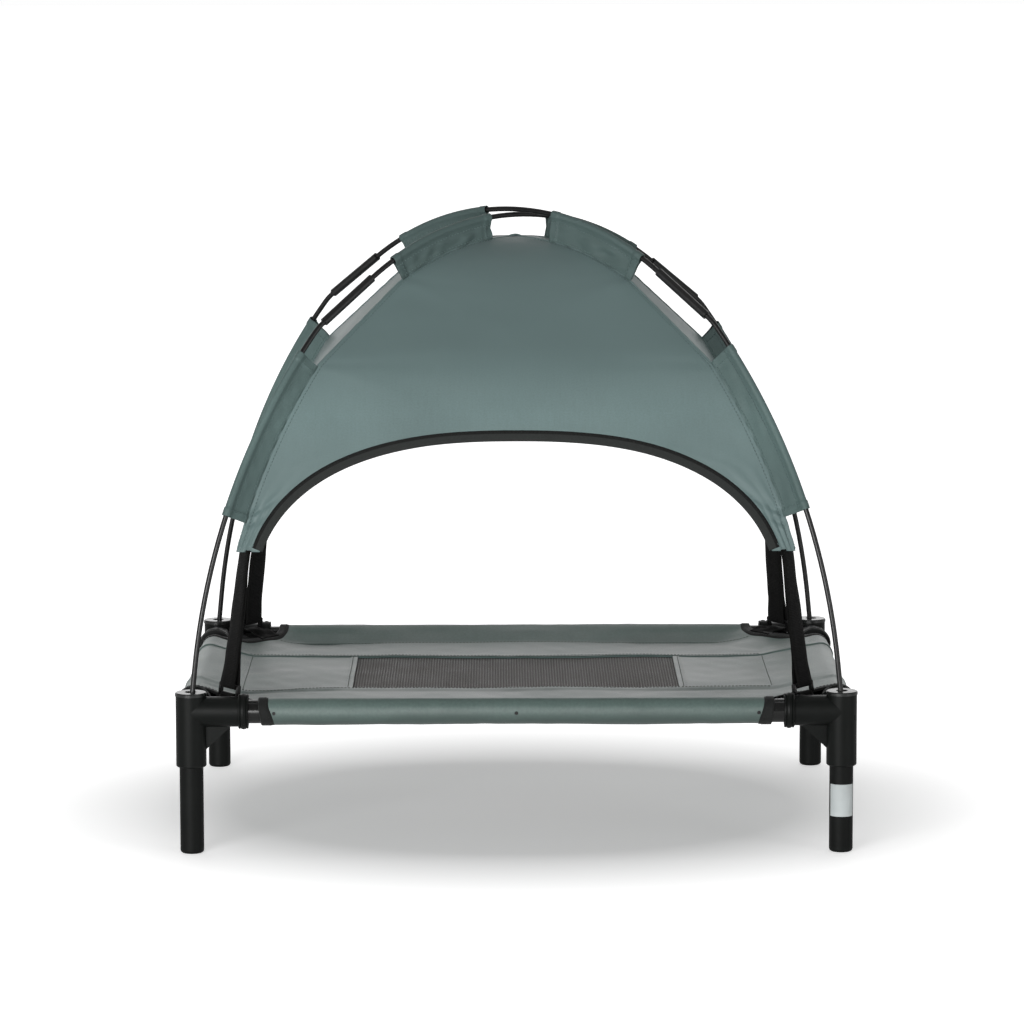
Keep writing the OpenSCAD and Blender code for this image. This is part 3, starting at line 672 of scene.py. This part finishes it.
def canopy_panel(side):
    """One panel's block between the arch and the ridge. It shares its ridge points with its neighbours."""
    q_ridge = np.concatenate([STATIONS[::-1], STATIONS[1:]])
    hand = np.concatenate([-np.ones(len(STATIONS)), np.ones(len(STATIONS) - 1)])
    x = ridge_at(q_ridge)[0] * side_shape(side)[0] * hand
    ax, az = arch_line(side, SHEET_INSET, np.linspace(0, math.pi / 2, 3000))
    z_low = np.interp(-np.abs(x), -ax, az, left=HEM_Z, right=az[-1])
    z_low = np.where(np.abs(x) > ax[0], HEM_Z, np.maximum(z_low, HEM_Z))
    f = np.linspace(0, 1, ROWS)[:, None]
    q = q_ridge * (1 - f) + ridge_q(z_low) * f
    xx = np.broadcast_to(x, q.shape)
    return panel(side, xx, q)[0], grid_faces(*q.shape), np.stack([xx + side * MAP_GAP, q], -1)


canopy = add_mesh("canopy_cloth_sheet", merge([canopy_panel(side) for side in range(4)]),
                  M_CANOPY, "canopy", thick=CANOPY_CLOTH, weld=True)
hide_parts("canopy_cloth")


def ridge_line(sx, sy, q, outward):
    """Scene points of a corner's ridge, moved outward from the cloth."""
    s, z, a = ridge_at(q)
    s, z = s + outward * np.sin(a), z + outward * np.cos(a)
    return np.stack([sx * COS * s, sy * SIN * s, z], -1)


# seam cord along each ridge, and the knot where the four seams meet
trim = []
q = np.linspace(0.004, Q_TIP - 0.003, 130)
for sx, sy in CORNERS.values():
    cord_r = 0.0008 + 0.00012 * waves(q[:, None], 0.02, 3)
    trim.append(tube(ridge_line(sx, sy, q, 0.0002), cord_r, q, 6, 0.0008))
knot, knot_z = np.linspace(-0.006, 0.006, 15), APEX_Z - RIDGE_DROP + 0.0006
knot_line = [knot, 0.3 * knot + 0.001 * np.sin(knot * 500), knot_z + 0.0009 * np.cos(knot * 260)]
trim.append(tube(np.stack(knot_line, -1), 0.0012 * np.cos(knot * 200) ** 0.5, knot, 8, 0.001))
ridge_seams = add_mesh("canopy_ridge_seams", merge(trim), M_CANOPY, "canopy")

# ---------- arch bindings ----------

thread_canopy, thread_tape = [], []
SIDE_NAMES = ["front", "right", "back", "left"]
TAPE_INSETS, TAPE_STITCH = (BAND, BAND - 0.0006, 0.0055, 0.0025, 0.0), 0.0016
foot_t = math.asin(((HEM_Z + 0.0005 - ARCH_Z) / (ARCH_RISE - BAND)) ** (ARCH_N / 2))
t = np.linspace(foot_t, math.pi - foot_t, 170)
for side, name in enumerate(SIDE_NAMES):
    cuts = []
    for inset in TAPE_INSETS:
        x, z = arch_line(side, inset, t)
        cuts.append(panel(side, x, ridge_q(np.maximum(z, HEM_Z))))
    tape = folded_tape(cuts, ARCH_TAPE)
    piece = add_mesh(f"arch_binding_{name}_tape", tape, M_TAPE, "canopy")
    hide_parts(f"arch_binding_{name}")
    x, z = arch_line(side, TAPE_STITCH, t[2:-2])
    thread_tape.append(stitches(*panel(side, x, ridge_q(z), 0.00085), width=0.0006, length=0.0027))

# stitch rows beside the ridges
SEAM_ALLOWANCE = 0.0042
q = np.linspace(0.03, Q_TIP - 0.012, 150)
for side in range(4):
    for m in (-1, 1):
        x = m * (side_shape(side)[0] * ridge_at(q)[0] - SEAM_ALLOWANCE)
        thread_canopy.append(stitches(*panel(side, x, q, 0.0004)))

# ---------- pole sleeves ----------


def diagonal(sx, sy):
    """Unit vectors of a corner's diagonal plane: outwards, and across it."""
    return np.array([sx * COS, sy * SIN, 0]), np.array([-sy * SIN, sx * COS, 0]) * (1 if sx * sy > 0 else -1)


def in_scene(sx, sy, s, across, z):
    """Scene points by a corner's diagonal plane: distance from the centre, offset across it, height."""
    out, side = diagonal(sx, sy)
    return s[..., None] * out + across[..., None] * side + z[..., None] * UP


# the flange's top under the pole's axis, half its thickness, radius round the pole, stations of a hem
FLANGE, FLANGE_HALF, SLEEVE_R = 0.0062, 0.00042, 0.0031
HEM_STATIONS = np.concatenate([[0, 0.0004], np.linspace(0.001, 0.0072, 6), [0.0078, 0.0084]])


def pole_sleeve(name, sx, sy, span, rough, seed):
    """Cloth from the ridge seam round the pole and back, with a hem at each end."""
    side, dz = diagonal(sx, sy)[1], pole_dz(sx, sy)
    q = np.concatenate([span[0] + HEM_STATIONS, np.linspace(span[0] + 0.011, span[1] - 0.011, 46),
                        span[1] - HEM_STATIONS[::-1]])
    s, z, a = pole_at(q, dz)
    seam = -(RIDGE_DROP + dz * np.cos(a)) - 0.0004
    hem = ease((0.0081 - np.minimum(q - span[0], span[1] - q)) / 0.0006)[:, None]
    # half of the section, from the seam up the flange and round the pole, then the top and the other half
    half = [(seam * (1 - k) - FLANGE * k, FLANGE_HALF + 0.0005 * ease(k * 1.4 - 0.4))
            for k in np.linspace(0, 1, 9)]
    for angle in np.radians([-62, -38, -12, 15, 42, 68]):
        r = SLEEVE_R + 0.0006 * max(0, -math.sin(angle))
        half.append((r * math.sin(angle), r * math.cos(angle)))
    section = [(up, b, 1) for up, b in half] + [(0.0032, 0.0, 1)] + [(up, -b, -1) for up, b in half[::-1]]
    up, b, sign = (np.stack([np.broadcast_to(v, q.shape) for v in column], 1) for column in zip(*section))
    low = ease((-up - 0.005) / 0.006) * ease((up - seam[:, None]) / 0.004)
    ripple = waves(np.stack([up * 1.6, np.broadcast_to(q[:, None], up.shape)], -1), 0.022, seed) * rough * low
    b = b + sign * 0.00055 * hem + ripple
    up = up + 0.0005 * hem * (up > 0) - 0.0008 * np.abs(ripple) / rough * low * 0.3
    p = in_scene(sx, sy, s[:, None] + up * np.sin(a)[:, None], b, z[:, None] + up * np.cos(a)[:, None])
    cloth = cloth_map(q, running_total(np.hypot(np.diff(up[20]), np.diff(b[20]))))
    piece = add_mesh(name + "_cloth", (p, grid_faces(*up.shape), cloth), M_SLEEVE, "canopy",
                     thick=SLEEVE_CLOTH)
    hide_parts(name)
    # stitch rows on both faces: under the pole, beside the seam and across each hem
    count, off = up.shape[1], 0.00035
    for m in (1, -1):
        for row in (np.full_like(q, -0.0068), seam + 0.0030):
            nearest = np.argmin(np.abs(up[:, :count // 2] - row[:, None]), 1)
            bb = b[np.arange(len(q)), nearest if m == 1 else count - 1 - nearest]
            line = in_scene(sx, sy, s + row * np.sin(a), bb + m * off, z + row * np.cos(a))
            thread_canopy.append(stitches(line, np.broadcast_to(m * side, line.shape)))
        for j in (7, len(q) - 8):
            line = p[j, slice(1, 9) if m == 1 else slice(count - 9, count - 1)] + m * side * off
            thread_canopy.append(stitches(line, np.broadcast_to(m * side, line.shape)))
    return piece


# the upper sleeves have slid a little along their poles
SLID = {"front_left": (-0.0035, 0), "front_right": (0.012, 0.0065), "back_left": (0, -0.007),
        "back_right": (0.006, 0.003)}
for k, (name, (sx, sy)) in enumerate(CORNERS.items()):
    upper = (UPPER[0] + SLID[name][0], UPPER[1] + SLID[name][1])
    pole_sleeve(f"lower_sleeve_{name}", sx, sy, LOWER, 0.0005, 20 + k)
    pole_sleeve(f"upper_sleeve_{name}", sx, sy, upper, 0.0011, 40 + k)

# ---------- straps ----------

# the rings' place, the radius of their bars and the distance between the bars
RING_S, RING_Z, BAR_R, BAR_PITCH = DIAG - 0.043, 0.1525, 0.0018, 0.010
STRAP_TOP_S, STRAP_WIDTH, STRAP_TOP_WIDTH = 0.3085, 0.0240, 0.0210
LEAN = math.atan2(RING_S - STRAP_TOP_S, HEM_Z - RING_Z)
STRAP_L = (HEM_Z - RING_Z) / math.cos(LEAN)
# lower side of the webbing's section, in half widths and thicknesses
WEB_SIDE = [(-1, -0.35), (-0.985, -0.5), (-0.5, -0.5), (0, -0.5), (0.5, -0.5), (0.985, -0.5), (1, -0.35)]
LEAN_OUT = {"back_right": 0.006}   # at the top
TWIST = {"front_left": 12, "front_right": 9, "back_left": 8, "back_right": 5}   # degrees at the top


def at_ring(sx, sy, along, up, across):
    """Scene points from strap coordinates: outwards along the diagonal, up the strap, and across it."""
    s = RING_S + along * math.cos(LEAN) - up * math.sin(LEAN)
    return in_scene(sx, sy, s, across, RING_Z + along * math.sin(LEAN) + up * math.cos(LEAN))


def path_normals(path):
    d = unit(np.gradient(path, axis=0))
    return np.stack([d[:, 1], -d[:, 0]], 1)


def ribbon(path, width, twist, sx, sy):
    """Webbing along a path (along, up), with its width and twist at each point."""
    n, t = path_normals(path), distance_along(path)
    rings, maps = [], []
    for w, h in WEB_SIDE + [(-w, -h) for w, h in WEB_SIDE]:
        off, across = n[:, 0] * h * STRAP_WEB, w * width / 2
        a = path[:, 0] * np.cos(twist) + off * np.cos(twist) - across * np.sin(twist)
        c = (path[:, 0] + off) * np.sin(twist) + across * np.cos(twist)
        rings.append(at_ring(sx, sy, a, path[:, 1] + n[:, 1] * h * STRAP_WEB, c))
        maps.append(np.stack([t, across + h * STRAP_WEB], -1))
    return (*loft(np.stack(rings, 1)), np.stack(maps, 1))


def strap_path():
    """(along, up) points: down the strap, round the ring's upper bar and up again."""
    gap, fold = 0.00085, BAR_R + 0.0009
    down = [(gap, y) for y in np.linspace(STRAP_L + 0.0015, 0.030, 26)]
    down += [(gap + (fold - gap) * ease(1 - y / 0.026), y) for y in np.linspace(0.026, 0.002, 9)]
    loop = [(fold * math.cos(a), -fold * math.sin(a)) for a in np.linspace(0.05, math.pi - 0.05, 13)]
    return np.array(down + loop + [(-x, y) for x, y in down[::-1]])


for k, (name, (sx, sy)) in enumerate(CORNERS.items()):
    path = strap_path()
    up = np.clip(path[:, 1] / STRAP_L, 0, 1)
    path[:, 0] += LEAN_OUT.get(name, 0) * up ** 1.2
    uneven = waves(path[:, 1:2] + 0.3 * np.sign(path[:, :1]), 0.05, 70 + k)
    path[:, 0] += 0.00035 * uneven * ease(up * 5)
    width = STRAP_WIDTH - (STRAP_WIDTH - STRAP_TOP_WIDTH) * ease(up * 2 - 1)
    strap = ribbon(path, width, -math.radians(TWIST[name]) * up ** 0.7, sx, sy)
    piece = add_mesh(f"strap_{name}_webbing", strap, M_WEB, "canopy")
    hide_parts(f"strap_{name}")

# ---------- sling ----------

CLOTH_R = TUBE_R + 0.00085
# from the long and the short rails' axes to the flat bed, radius of the corner cuts, window
REACH_Y, REACH_X, CUT_R = 0.035, 0.058, 0.0635
FLAT_X, FLAT_Y = POST_X - REACH_X, POST_Y - REACH_Y
WIN_X, WIN_Y = 0.155, 0.089


def edge_height(x, y):
    """How far each corner's cut edge stays above the bed."""
    return np.where(y > 0, np.where(x > 0, 0.0102, 0.0055), np.where(x > 0, 0.0050, 0.0008))


def side_stitch(x):
    """Distance of the side sleeve's stitch line from its rail: the bed sits a little off centre."""
    return np.where(np.asarray(x) < 0, 0.041, 0.0565)


def lean(stitch):
    return np.arcsin(CLOTH_R / stitch)


def ramp_height(d, stitch, soft):
    """Height of a sleeve's upper cloth over the bed at distance d inside the rail's axis."""
    a, t = lean(stitch), stitch - d
    rise = np.where(t > soft, t, np.where(t > -soft, (t + soft) ** 2 / (4 * soft), 0)) * np.tan(a)
    return np.where(d > CLOTH_R * np.sin(a), rise, np.sqrt(np.maximum(CLOTH_R ** 2 - d ** 2, 0)))


def soft_max(a, b):
    k = np.clip(np.minimum(a, b), 1e-5, 0.004)
    return np.maximum(a, b) + np.maximum(k - np.abs(a - b), 0) ** 2 / (4 * k)


def seam_lift(y):
    """Step of the bed's lengthwise seams: the outer panels lie on the middle one."""
    d = np.abs(y) - WIN_Y - 0.0006
    return 0.0012 * ease(d / 0.0004) * (1 - ease((d - 0.008) / 0.008))


def seam_shift(x, y):
    """The front seam is drawn forwards beside the left sleeve."""
    near_sleeve = ease((-x - 0.165) / 0.075) * (1 - ease((-x - 0.250) / 0.03))
    return -0.015 * near_sleeve * np.exp(-((y + WIN_Y) / 0.03) ** 2)


def bed_top(x, y):
    """Height of the stretched cloth's upper side, from the bed up to where it meets the rails."""
    dx, dy = POST_X - np.abs(x), POST_Y - np.abs(y)
    st = side_stitch(x)
    hx, hy = ramp_height(dx, st, 0.005), ramp_height(dy, REACH_Y, 0.0012)
    r = np.hypot(dx, dy)
    fall = np.clip(1 - (r - CUT_R) / np.where(y > 0, 0.045, 0.072), 0, 1) ** 1.35
    h = soft_max(soft_max(hx, hy), edge_height(x, y) * fall)
    near_x = ease((dx - CLOTH_R * np.sin(lean(st))) / 0.012)
    near_y = ease((dy - CLOTH_R * np.sin(lean(REACH_Y))) / 0.012)
    h = hx + (h - hx) * near_x
    h = hy + (h - hy) * near_y
    spot = np.stack(np.broadcast_arrays(x, y), -1)
    # puckers round the corner cuts
    around, out = np.arctan2(dy, dx), np.maximum(r - CUT_R, 0)
    pull = (0.0007 * np.sin(around * 13 + 3 * np.sign(x) + np.sign(y)) * np.exp(-out / 0.035)
            * ease(out / 0.012))
    # a crease along the front on each side, and the back edge dipping towards its corners
    left_y = (y + 0.101 + 0.17 * np.maximum(-x - 0.165, 0)) / 0.005
    right_y = (y + 0.108 - 0.05 * np.maximum(x - 0.1, 0)) / 0.006
    line = -0.0011 * np.exp(-left_y ** 2) * ease((-x - 0.15) / 0.04)
    line = line - 0.0007 * np.exp(-right_y ** 2) * ease((x - 0.13) / 0.05)
    dip = np.where(y > 0, np.where(x > 0, -0.0025, -0.0032), 0) * np.clip(np.abs(x) / 0.21, 0, 1) ** 1.3
    dip = dip * np.exp(-((dy - REACH_Y) / 0.028) ** 2) * ease(out / 0.02)
    sag = -0.0014 * np.clip(1 - (x / FLAT_X) ** 2, 0, 1) * np.clip(1 - (y / FLAT_Y) ** 2, 0, 1)
    uneven = 0.0005 * waves(spot, 0.12, 1) + 0.00018 * waves(spot, 0.03, 2)
    return h + near_x * near_y * (uneven + pull + line + sag + dip)


def window_hem(x, y):
    """The window's hem is a second layer of cloth at its short ends."""
    beside = (np.abs(y) < WIN_Y + 0.0005) & (np.abs(x) >= WIN_X - 1e-6)
    return np.where(beside, 0.0006 * (1 - ease((np.abs(x) - WIN_X - 0.006) / 0.0008)), 0)


def deck(x, y):
    """Point of the cloth's upper side, seams and hems included."""
    x, y = np.broadcast_arrays(np.asarray(x, float), np.asarray(y, float))
    moved = y + seam_shift(x, y)
    return np.stack([x, moved, RAIL_Z + bed_top(x, moved) + seam_lift(y) + window_hem(x, y)], -1)


def hold(u, keep, flat, end):
    """Keeps |u| below keep and spreads the rest so that flat lands on end."""
    k = np.abs(u)
    return np.sign(u) * np.where(k <= keep, k, keep + (k - keep) * (end - keep) / (flat - keep))


def sleeve_rows(reach, stitch, rise):
    """Distance inside the rail's axis, height and normal: up to the rail, round it, back to the stitches."""
    a = float(lean(stitch))
    tip_d, tip_h = CLOTH_R * math.sin(a), CLOTH_R * math.cos(a)
    rows = [(reach + (tip_d - reach) * k, 0, math.sin(a), math.cos(a)) for k in np.linspace(0, 1, rise)[:-1]]
    rows += [(CLOTH_R * math.cos(t), CLOTH_R * math.sin(t), math.cos(t), math.sin(t))
             for t in np.linspace(math.pi / 2 - a, 1.5 * math.pi + a, 34)]
    rows += [(tip_d + (stitch - tip_d) * k, -tip_h + (tip_h - 0.0012) * k, math.sin(a), -math.cos(a))
             for k in np.linspace(0, 1, 11)[1:]]
    return np.array(rows)


def end_at(d, h, other, inset=0.0):
    """How far a sleeve's cloth reaches along its rail; below the rail it is cut back a little."""
    low = ease((CLOTH_R - h) / (2 * CLOTH_R))
    return other - np.sqrt(CUT_R ** 2 - np.clip(d, 0, None) ** 2) - 0.0025 * low - inset * (0.86 + 0.32 * low)


def grid_line(half, count, edge, beside):
    """Even stations from -half to half, with more of them beside the seams at -edge and edge."""
    extra = [s * (edge + v) for s in (-1, 1) for v in beside]
    return np.unique(np.round(np.concatenate([np.linspace(-half, half, count), extra]), 6))


XS = grid_line(FLAT_X, 121, WIN_X, (0, 0.0008, 0.006, 0.0068))
YS = grid_line(FLAT_Y, 91, WIN_Y, (0, 0.0006, 0.0010, 0.0016, 0.008, 0.011))
RISE_Y, RISE_X = 13, 19


def band(along_x, sign):
    """One sleeve of the sling as a block of points, its first row on the flat part's edge."""
    if along_x:
        rise, rows = RISE_Y, sleeve_rows(REACH_Y, REACH_Y, RISE_Y)
        u, other, keep, flat = XS, POST_X, 0.17, FLAT_X
    else:
        rise, rows = RISE_X, sleeve_rows(REACH_X, float(side_stitch(sign)), RISE_X)
        u, other, keep, flat = YS, POST_Y, 0.115, FLAT_Y
    d, h, nd, nz = (rows[:, k][:, None] for k in range(4))
    pos = hold(u[None, :], keep, flat, end_at(d, np.where(h == 0, CLOTH_R, h), other))
    spot = np.stack(np.broadcast_arrays(pos, d * 1.0, h + 0.2 * sign), -1)
    k = np.arange(len(rows))[:, None]
    calm = ease((k - rise) / 5) * ease((len(rows) - 1 - k) / 6)
    lift = calm * (0.0004 * waves(spot, 0.09, 11) + 0.00012 * waves(spot, 0.02, 12))
    if not along_x:
        lift = lift + seam_lift(u) * (k >= rise - 1)
    dd, hh, pos = np.broadcast_arrays(d + nd * lift, h + nz * lift, pos)
    w = running_total(np.hypot(np.diff(rows[:, 0]), np.diff(rows[:, 1])))[:, None] + 0 * dd
    if along_x:
        p = np.stack([pos, sign * (POST_Y - dd), RAIL_Z + hh], -1)
        cloth = np.stack([pos, sign * (FLAT_Y + w)], -1)
        p[:rise - 1] = deck(p[:rise - 1, :, 0], p[:rise - 1, :, 1])
        p[0] = deck(XS, sign * FLAT_Y)
    else:
        p = np.stack([sign * (POST_X - dd), pos + seam_shift(sign * (POST_X - dd), u), RAIL_Z + hh], -1)
        cloth = np.stack([sign * (FLAT_X + w), pos], -1)
        xx, yy = p[:rise - 1, :, 0], p[:rise - 1, :, 1]
        p[:rise - 1, :, 2] = RAIL_Z + bed_top(xx, yy) + seam_lift(u)
        p[0] = deck(sign * FLAT_X, YS)
    return p, grid_faces(*dd.shape, flip=(sign < 0) == along_x), cloth


# the flat bed with its window cut out, then the four sleeves
gx, gy = np.meshgrid(XS, YS, indexing="ij")
flat_faces = grid_faces(len(XS), len(YS))
mid = np.stack([gx, gy], -1).reshape(-1, 2)[flat_faces].mean(1)
flat_faces = flat_faces[~((np.abs(mid[:, 0]) < WIN_X) & (np.abs(mid[:, 1]) < WIN_Y))]
blocks = [(deck(gx, gy), flat_faces[:, ::-1], np.stack([gx, gy], -1))]
blocks += [band(along_x, sign) for along_x in (True, False) for sign in (-1, 1)]
sling = add_mesh("sling_cloth_sheet", merge(blocks), M_SLING, "cot",
                 thick=SLING_CLOTH, weld=True)
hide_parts("sling_cloth")

# net in the window: threads both ways with open holes between them
NET_PITCH, NET_THREAD, NET_OVER, NET_DROP = 0.0026, 0.0012, 0.004, 0.0009
nx, ny = (int(round(2 * (half + NET_OVER) / NET_PITCH)) for half in (WIN_X, WIN_Y))
cx, cy = ((np.arange(count + 1) - count / 2) * NET_PITCH for count in (nx, ny))
hole = (NET_PITCH - NET_THREAD) / 2
X, Y = np.meshgrid(cx, cy, indexing="ij")
mx, my = np.meshgrid((cx[1:] + cx[:-1]) / 2, (cy[1:] + cy[:-1]) / 2, indexing="ij")
mz = RAIL_Z + bed_top(mx, my) - NET_DROP
ring = [np.stack([mx + dx * hole, my + dy * hole, mz - 0.0001], -1).reshape(-1, 3)
        for dx, dy in ((-1, -1), (1, -1), (1, 1), (-1, 1))]
crossings = np.stack([X, Y, RAIL_Z + bed_top(X, Y) - NET_DROP], -1).reshape(-1, 3)
verts = np.concatenate([crossings, np.stack(ring, 1).reshape(-1, 3)])
corner = np.arange(len(crossings)).reshape(nx + 1, ny + 1)
cell = len(crossings) + 4 * np.arange(nx * ny).reshape(nx, ny)
around = (corner[:-1, :-1], corner[1:, :-1], corner[1:, 1:], corner[:-1, 1:])
faces = [np.stack([around[k], around[(k + 1) % 4], cell + (k + 1) % 4, cell + k], -1).reshape(-1, 4)
         for k in range(4)]
net = add_mesh("sling_mesh_net", (verts, np.concatenate(faces), verts[:, :2]), M_MESH, "cot",
               thick=NET_CLOTH)
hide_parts("sling_mesh")

# ---------- corner bindings of the sling ----------


def bed_slope(x, y, reach=0.0008):
    """Slope of the bed along x and along y."""
    return [float(bed_top(x + i, y + j) - bed_top(x - i, y - j)) / (2 * reach)
            for i, j in ((reach, 0), (0, reach))]


def corner_edge(sx, sy, inset):
    """The sling's cut edge at a corner, moved into the cloth by inset, with its normals.
    It runs from under the long rail round it, across the bed, and round the short rail to its underside."""
    pts, nrm, hidden = [], [], 5
    stitch = float(side_stitch(sx))
    long_rail = sleeve_rows(REACH_Y, REACH_Y, RISE_Y)[RISE_Y - 1:-hidden]
    short_rail = sleeve_rows(REACH_X, stitch, RISE_X)[RISE_X - 1:-hidden]
    for d, h, nd, nz in long_rail[::-1]:
        pts.append((float(end_at(d, h, POST_X, inset)), POST_Y - d, RAIL_Z + h))
        nrm.append((0, -nd, nz))
    r = CUT_R + inset * 0.9
    low = math.asin(CLOTH_R * math.sin(lean(REACH_Y)) / r)
    high = math.pi / 2 - math.asin(CLOTH_R * math.sin(lean(stitch)) / r)
    for phi in np.linspace(low, high, 34)[1:-1]:
        x, y = POST_X - r * math.cos(phi), POST_Y - r * math.sin(phi)
        slope = bed_slope(x * sx, y * sy)
        pts.append((x, y, RAIL_Z + float(bed_top(x * sx, y * sy))))
        nrm.append((-slope[0] * sx, -slope[1] * sy, 1))
    for d, h, nd, nz in short_rail:
        pts.append((POST_X - d, float(end_at(d, h, POST_Y, inset)), RAIL_Z + h))
        nrm.append((-nd, 0, nz))
    k = np.array([sx, sy, 1.0])
    return np.array(pts) * k, unit(np.array(nrm)) * k


thread_cot = []
for name, (sx, sy) in CORNERS.items():
    cuts = [corner_edge(sx, sy, inset) for inset in (0.0, 0.0006, 0.003, 0.006, 0.0094)]
    v, f, cloth = folded_tape(cuts, BED_TAPE)
    if sx * sy < 0:
        f = [q[::-1] for q in f]
    piece = add_mesh(f"binding_{name}_tape", (v, f, cloth), M_TAPE_BED, "cot")
    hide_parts(f"binding_{name}")
    p, nrm = corner_edge(sx, sy, 0.0066)
    thread_cot.append(stitches(p + nrm * 0.00118, nrm, width=0.00034))

# ---------- stitching of the sling ----------

thread_sling, seam_cords = [], []
THREAD_LIFT = 0.00062


def bed_row(x, y):
    """A straight row of stitches on the bed."""
    p = deck(x, y) + UP * THREAD_LIFT
    return stitches(p, np.broadcast_to(UP, p.shape), width=0.00038)


for sign in (-1, 1):
    side_x = sign * (POST_X - float(side_stitch(sign)) - 0.0005)
    thread_sling += [bed_row(np.linspace(-FLAT_X + 0.006, FLAT_X - 0.006, 180), sign * (FLAT_Y - 0.0008)),
                     bed_row(np.linspace(-FLAT_X - 0.02, FLAT_X, 200), sign * (WIN_Y + 0.0042)),
                     bed_row(side_x, np.linspace(-WIN_Y, WIN_Y, 90)),
                     bed_row(sign * (WIN_X + 0.0045), np.linspace(-WIN_Y, WIN_Y, 60))]
    x = np.linspace(-FLAT_X - 0.03, FLAT_X + 0.03, 220)
    p = deck(x, np.full_like(x, sign * WIN_Y))
    p[:, 2] = RAIL_Z + bed_top(p[:, 0], p[:, 1]) + 0.0004
    seam_cords.append(tube(p, 0.00055, x, 6, 0.0005))
add_mesh("sling_stitching", merge(thread_sling), M_THREAD_BED, "cot")
add_mesh("sling_seam_edges", merge(seam_cords), M_THREAD, "cot")
add_mesh("corner_stitching", merge(thread_cot), M_THREAD_DARK, "cot")
add_mesh("canopy_stitching", merge(thread_canopy), M_THREAD, "canopy")
add_mesh("binding_stitching", merge(thread_tape), M_THREAD_DARK, "canopy")

# ---------- anchor tapes ----------

TAPE_HALF, FOLD_R = 0.0105, BAR_R + 0.0008


def to_strap(s_at, z_at):
    """Strap coordinates (along, up) of a point given by its distance from the centre and its height."""
    ds, dz = s_at - RING_S, z_at - RING_Z
    return ds * math.cos(LEAN) + dz * math.sin(LEAN), -ds * math.sin(LEAN) + dz * math.cos(LEAN)


def straight(start, end):
    t = np.linspace(0, 1, 16)[:, None]
    return np.array(start) * (1 - t) + np.array(end) * t


def anchor_tape(sx, sy, rough, seed):
    """From the bed's cut edge round the ring's lower bar and back under the edge, crumpled in between."""
    s = DIAG - CUT_R - 0.004
    z = RAIL_Z + float(bed_top(sx * COS * s, sy * SIN * s))
    bend = [(FOLD_R * math.cos(a), -BAR_PITCH + FOLD_R * math.sin(a))
            for a in np.linspace(math.radians(80), math.radians(-85), 13)]
    path = np.concatenate([straight(to_strap(s, z + 0.0016), bend[0])[:-1], bend,
                           straight(bend[-1], to_strap(s, z - 0.0026))[1:]])
    n, middle_row = path_normals(path), len(path) / 2
    from_middle = np.abs(np.arange(len(path)) - middle_row)[:, None]
    free = ease(from_middle / 8 - 0.8) * ease((middle_row - from_middle) / 4)
    cloth = cloth_map(distance_along(path), np.linspace(-TAPE_HALF, TAPE_HALF, 27))
    tt, ww = cloth[..., 0], cloth[..., 1]
    layer = np.where(np.arange(len(path))[:, None] > middle_row, 0.4, 0.1) + 0 * ww
    crumple = rough * waves(np.stack([tt * 0.35, ww, layer], -1), 0.0085, seed) * free
    wide = ww * (1 + 0.35 * (from_middle / middle_row) ** 2)
    p = at_ring(sx, sy, path[:, :1] + n[:, :1] * crumple, path[:, 1:] + n[:, 1:] * crumple, wide)
    return p, grid_faces(*tt.shape), cloth


tapes = [anchor_tape(sx, sy, 0.0017 if sy > 0 else 0.0007, 90 + k)
         for k, (sx, sy) in enumerate(CORNERS.values())]
anchors = add_mesh("anchor_tape_loops", merge(tapes), M_WEB, "cot", thick=ANCHOR_TAPE)
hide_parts("anchor_tapes")
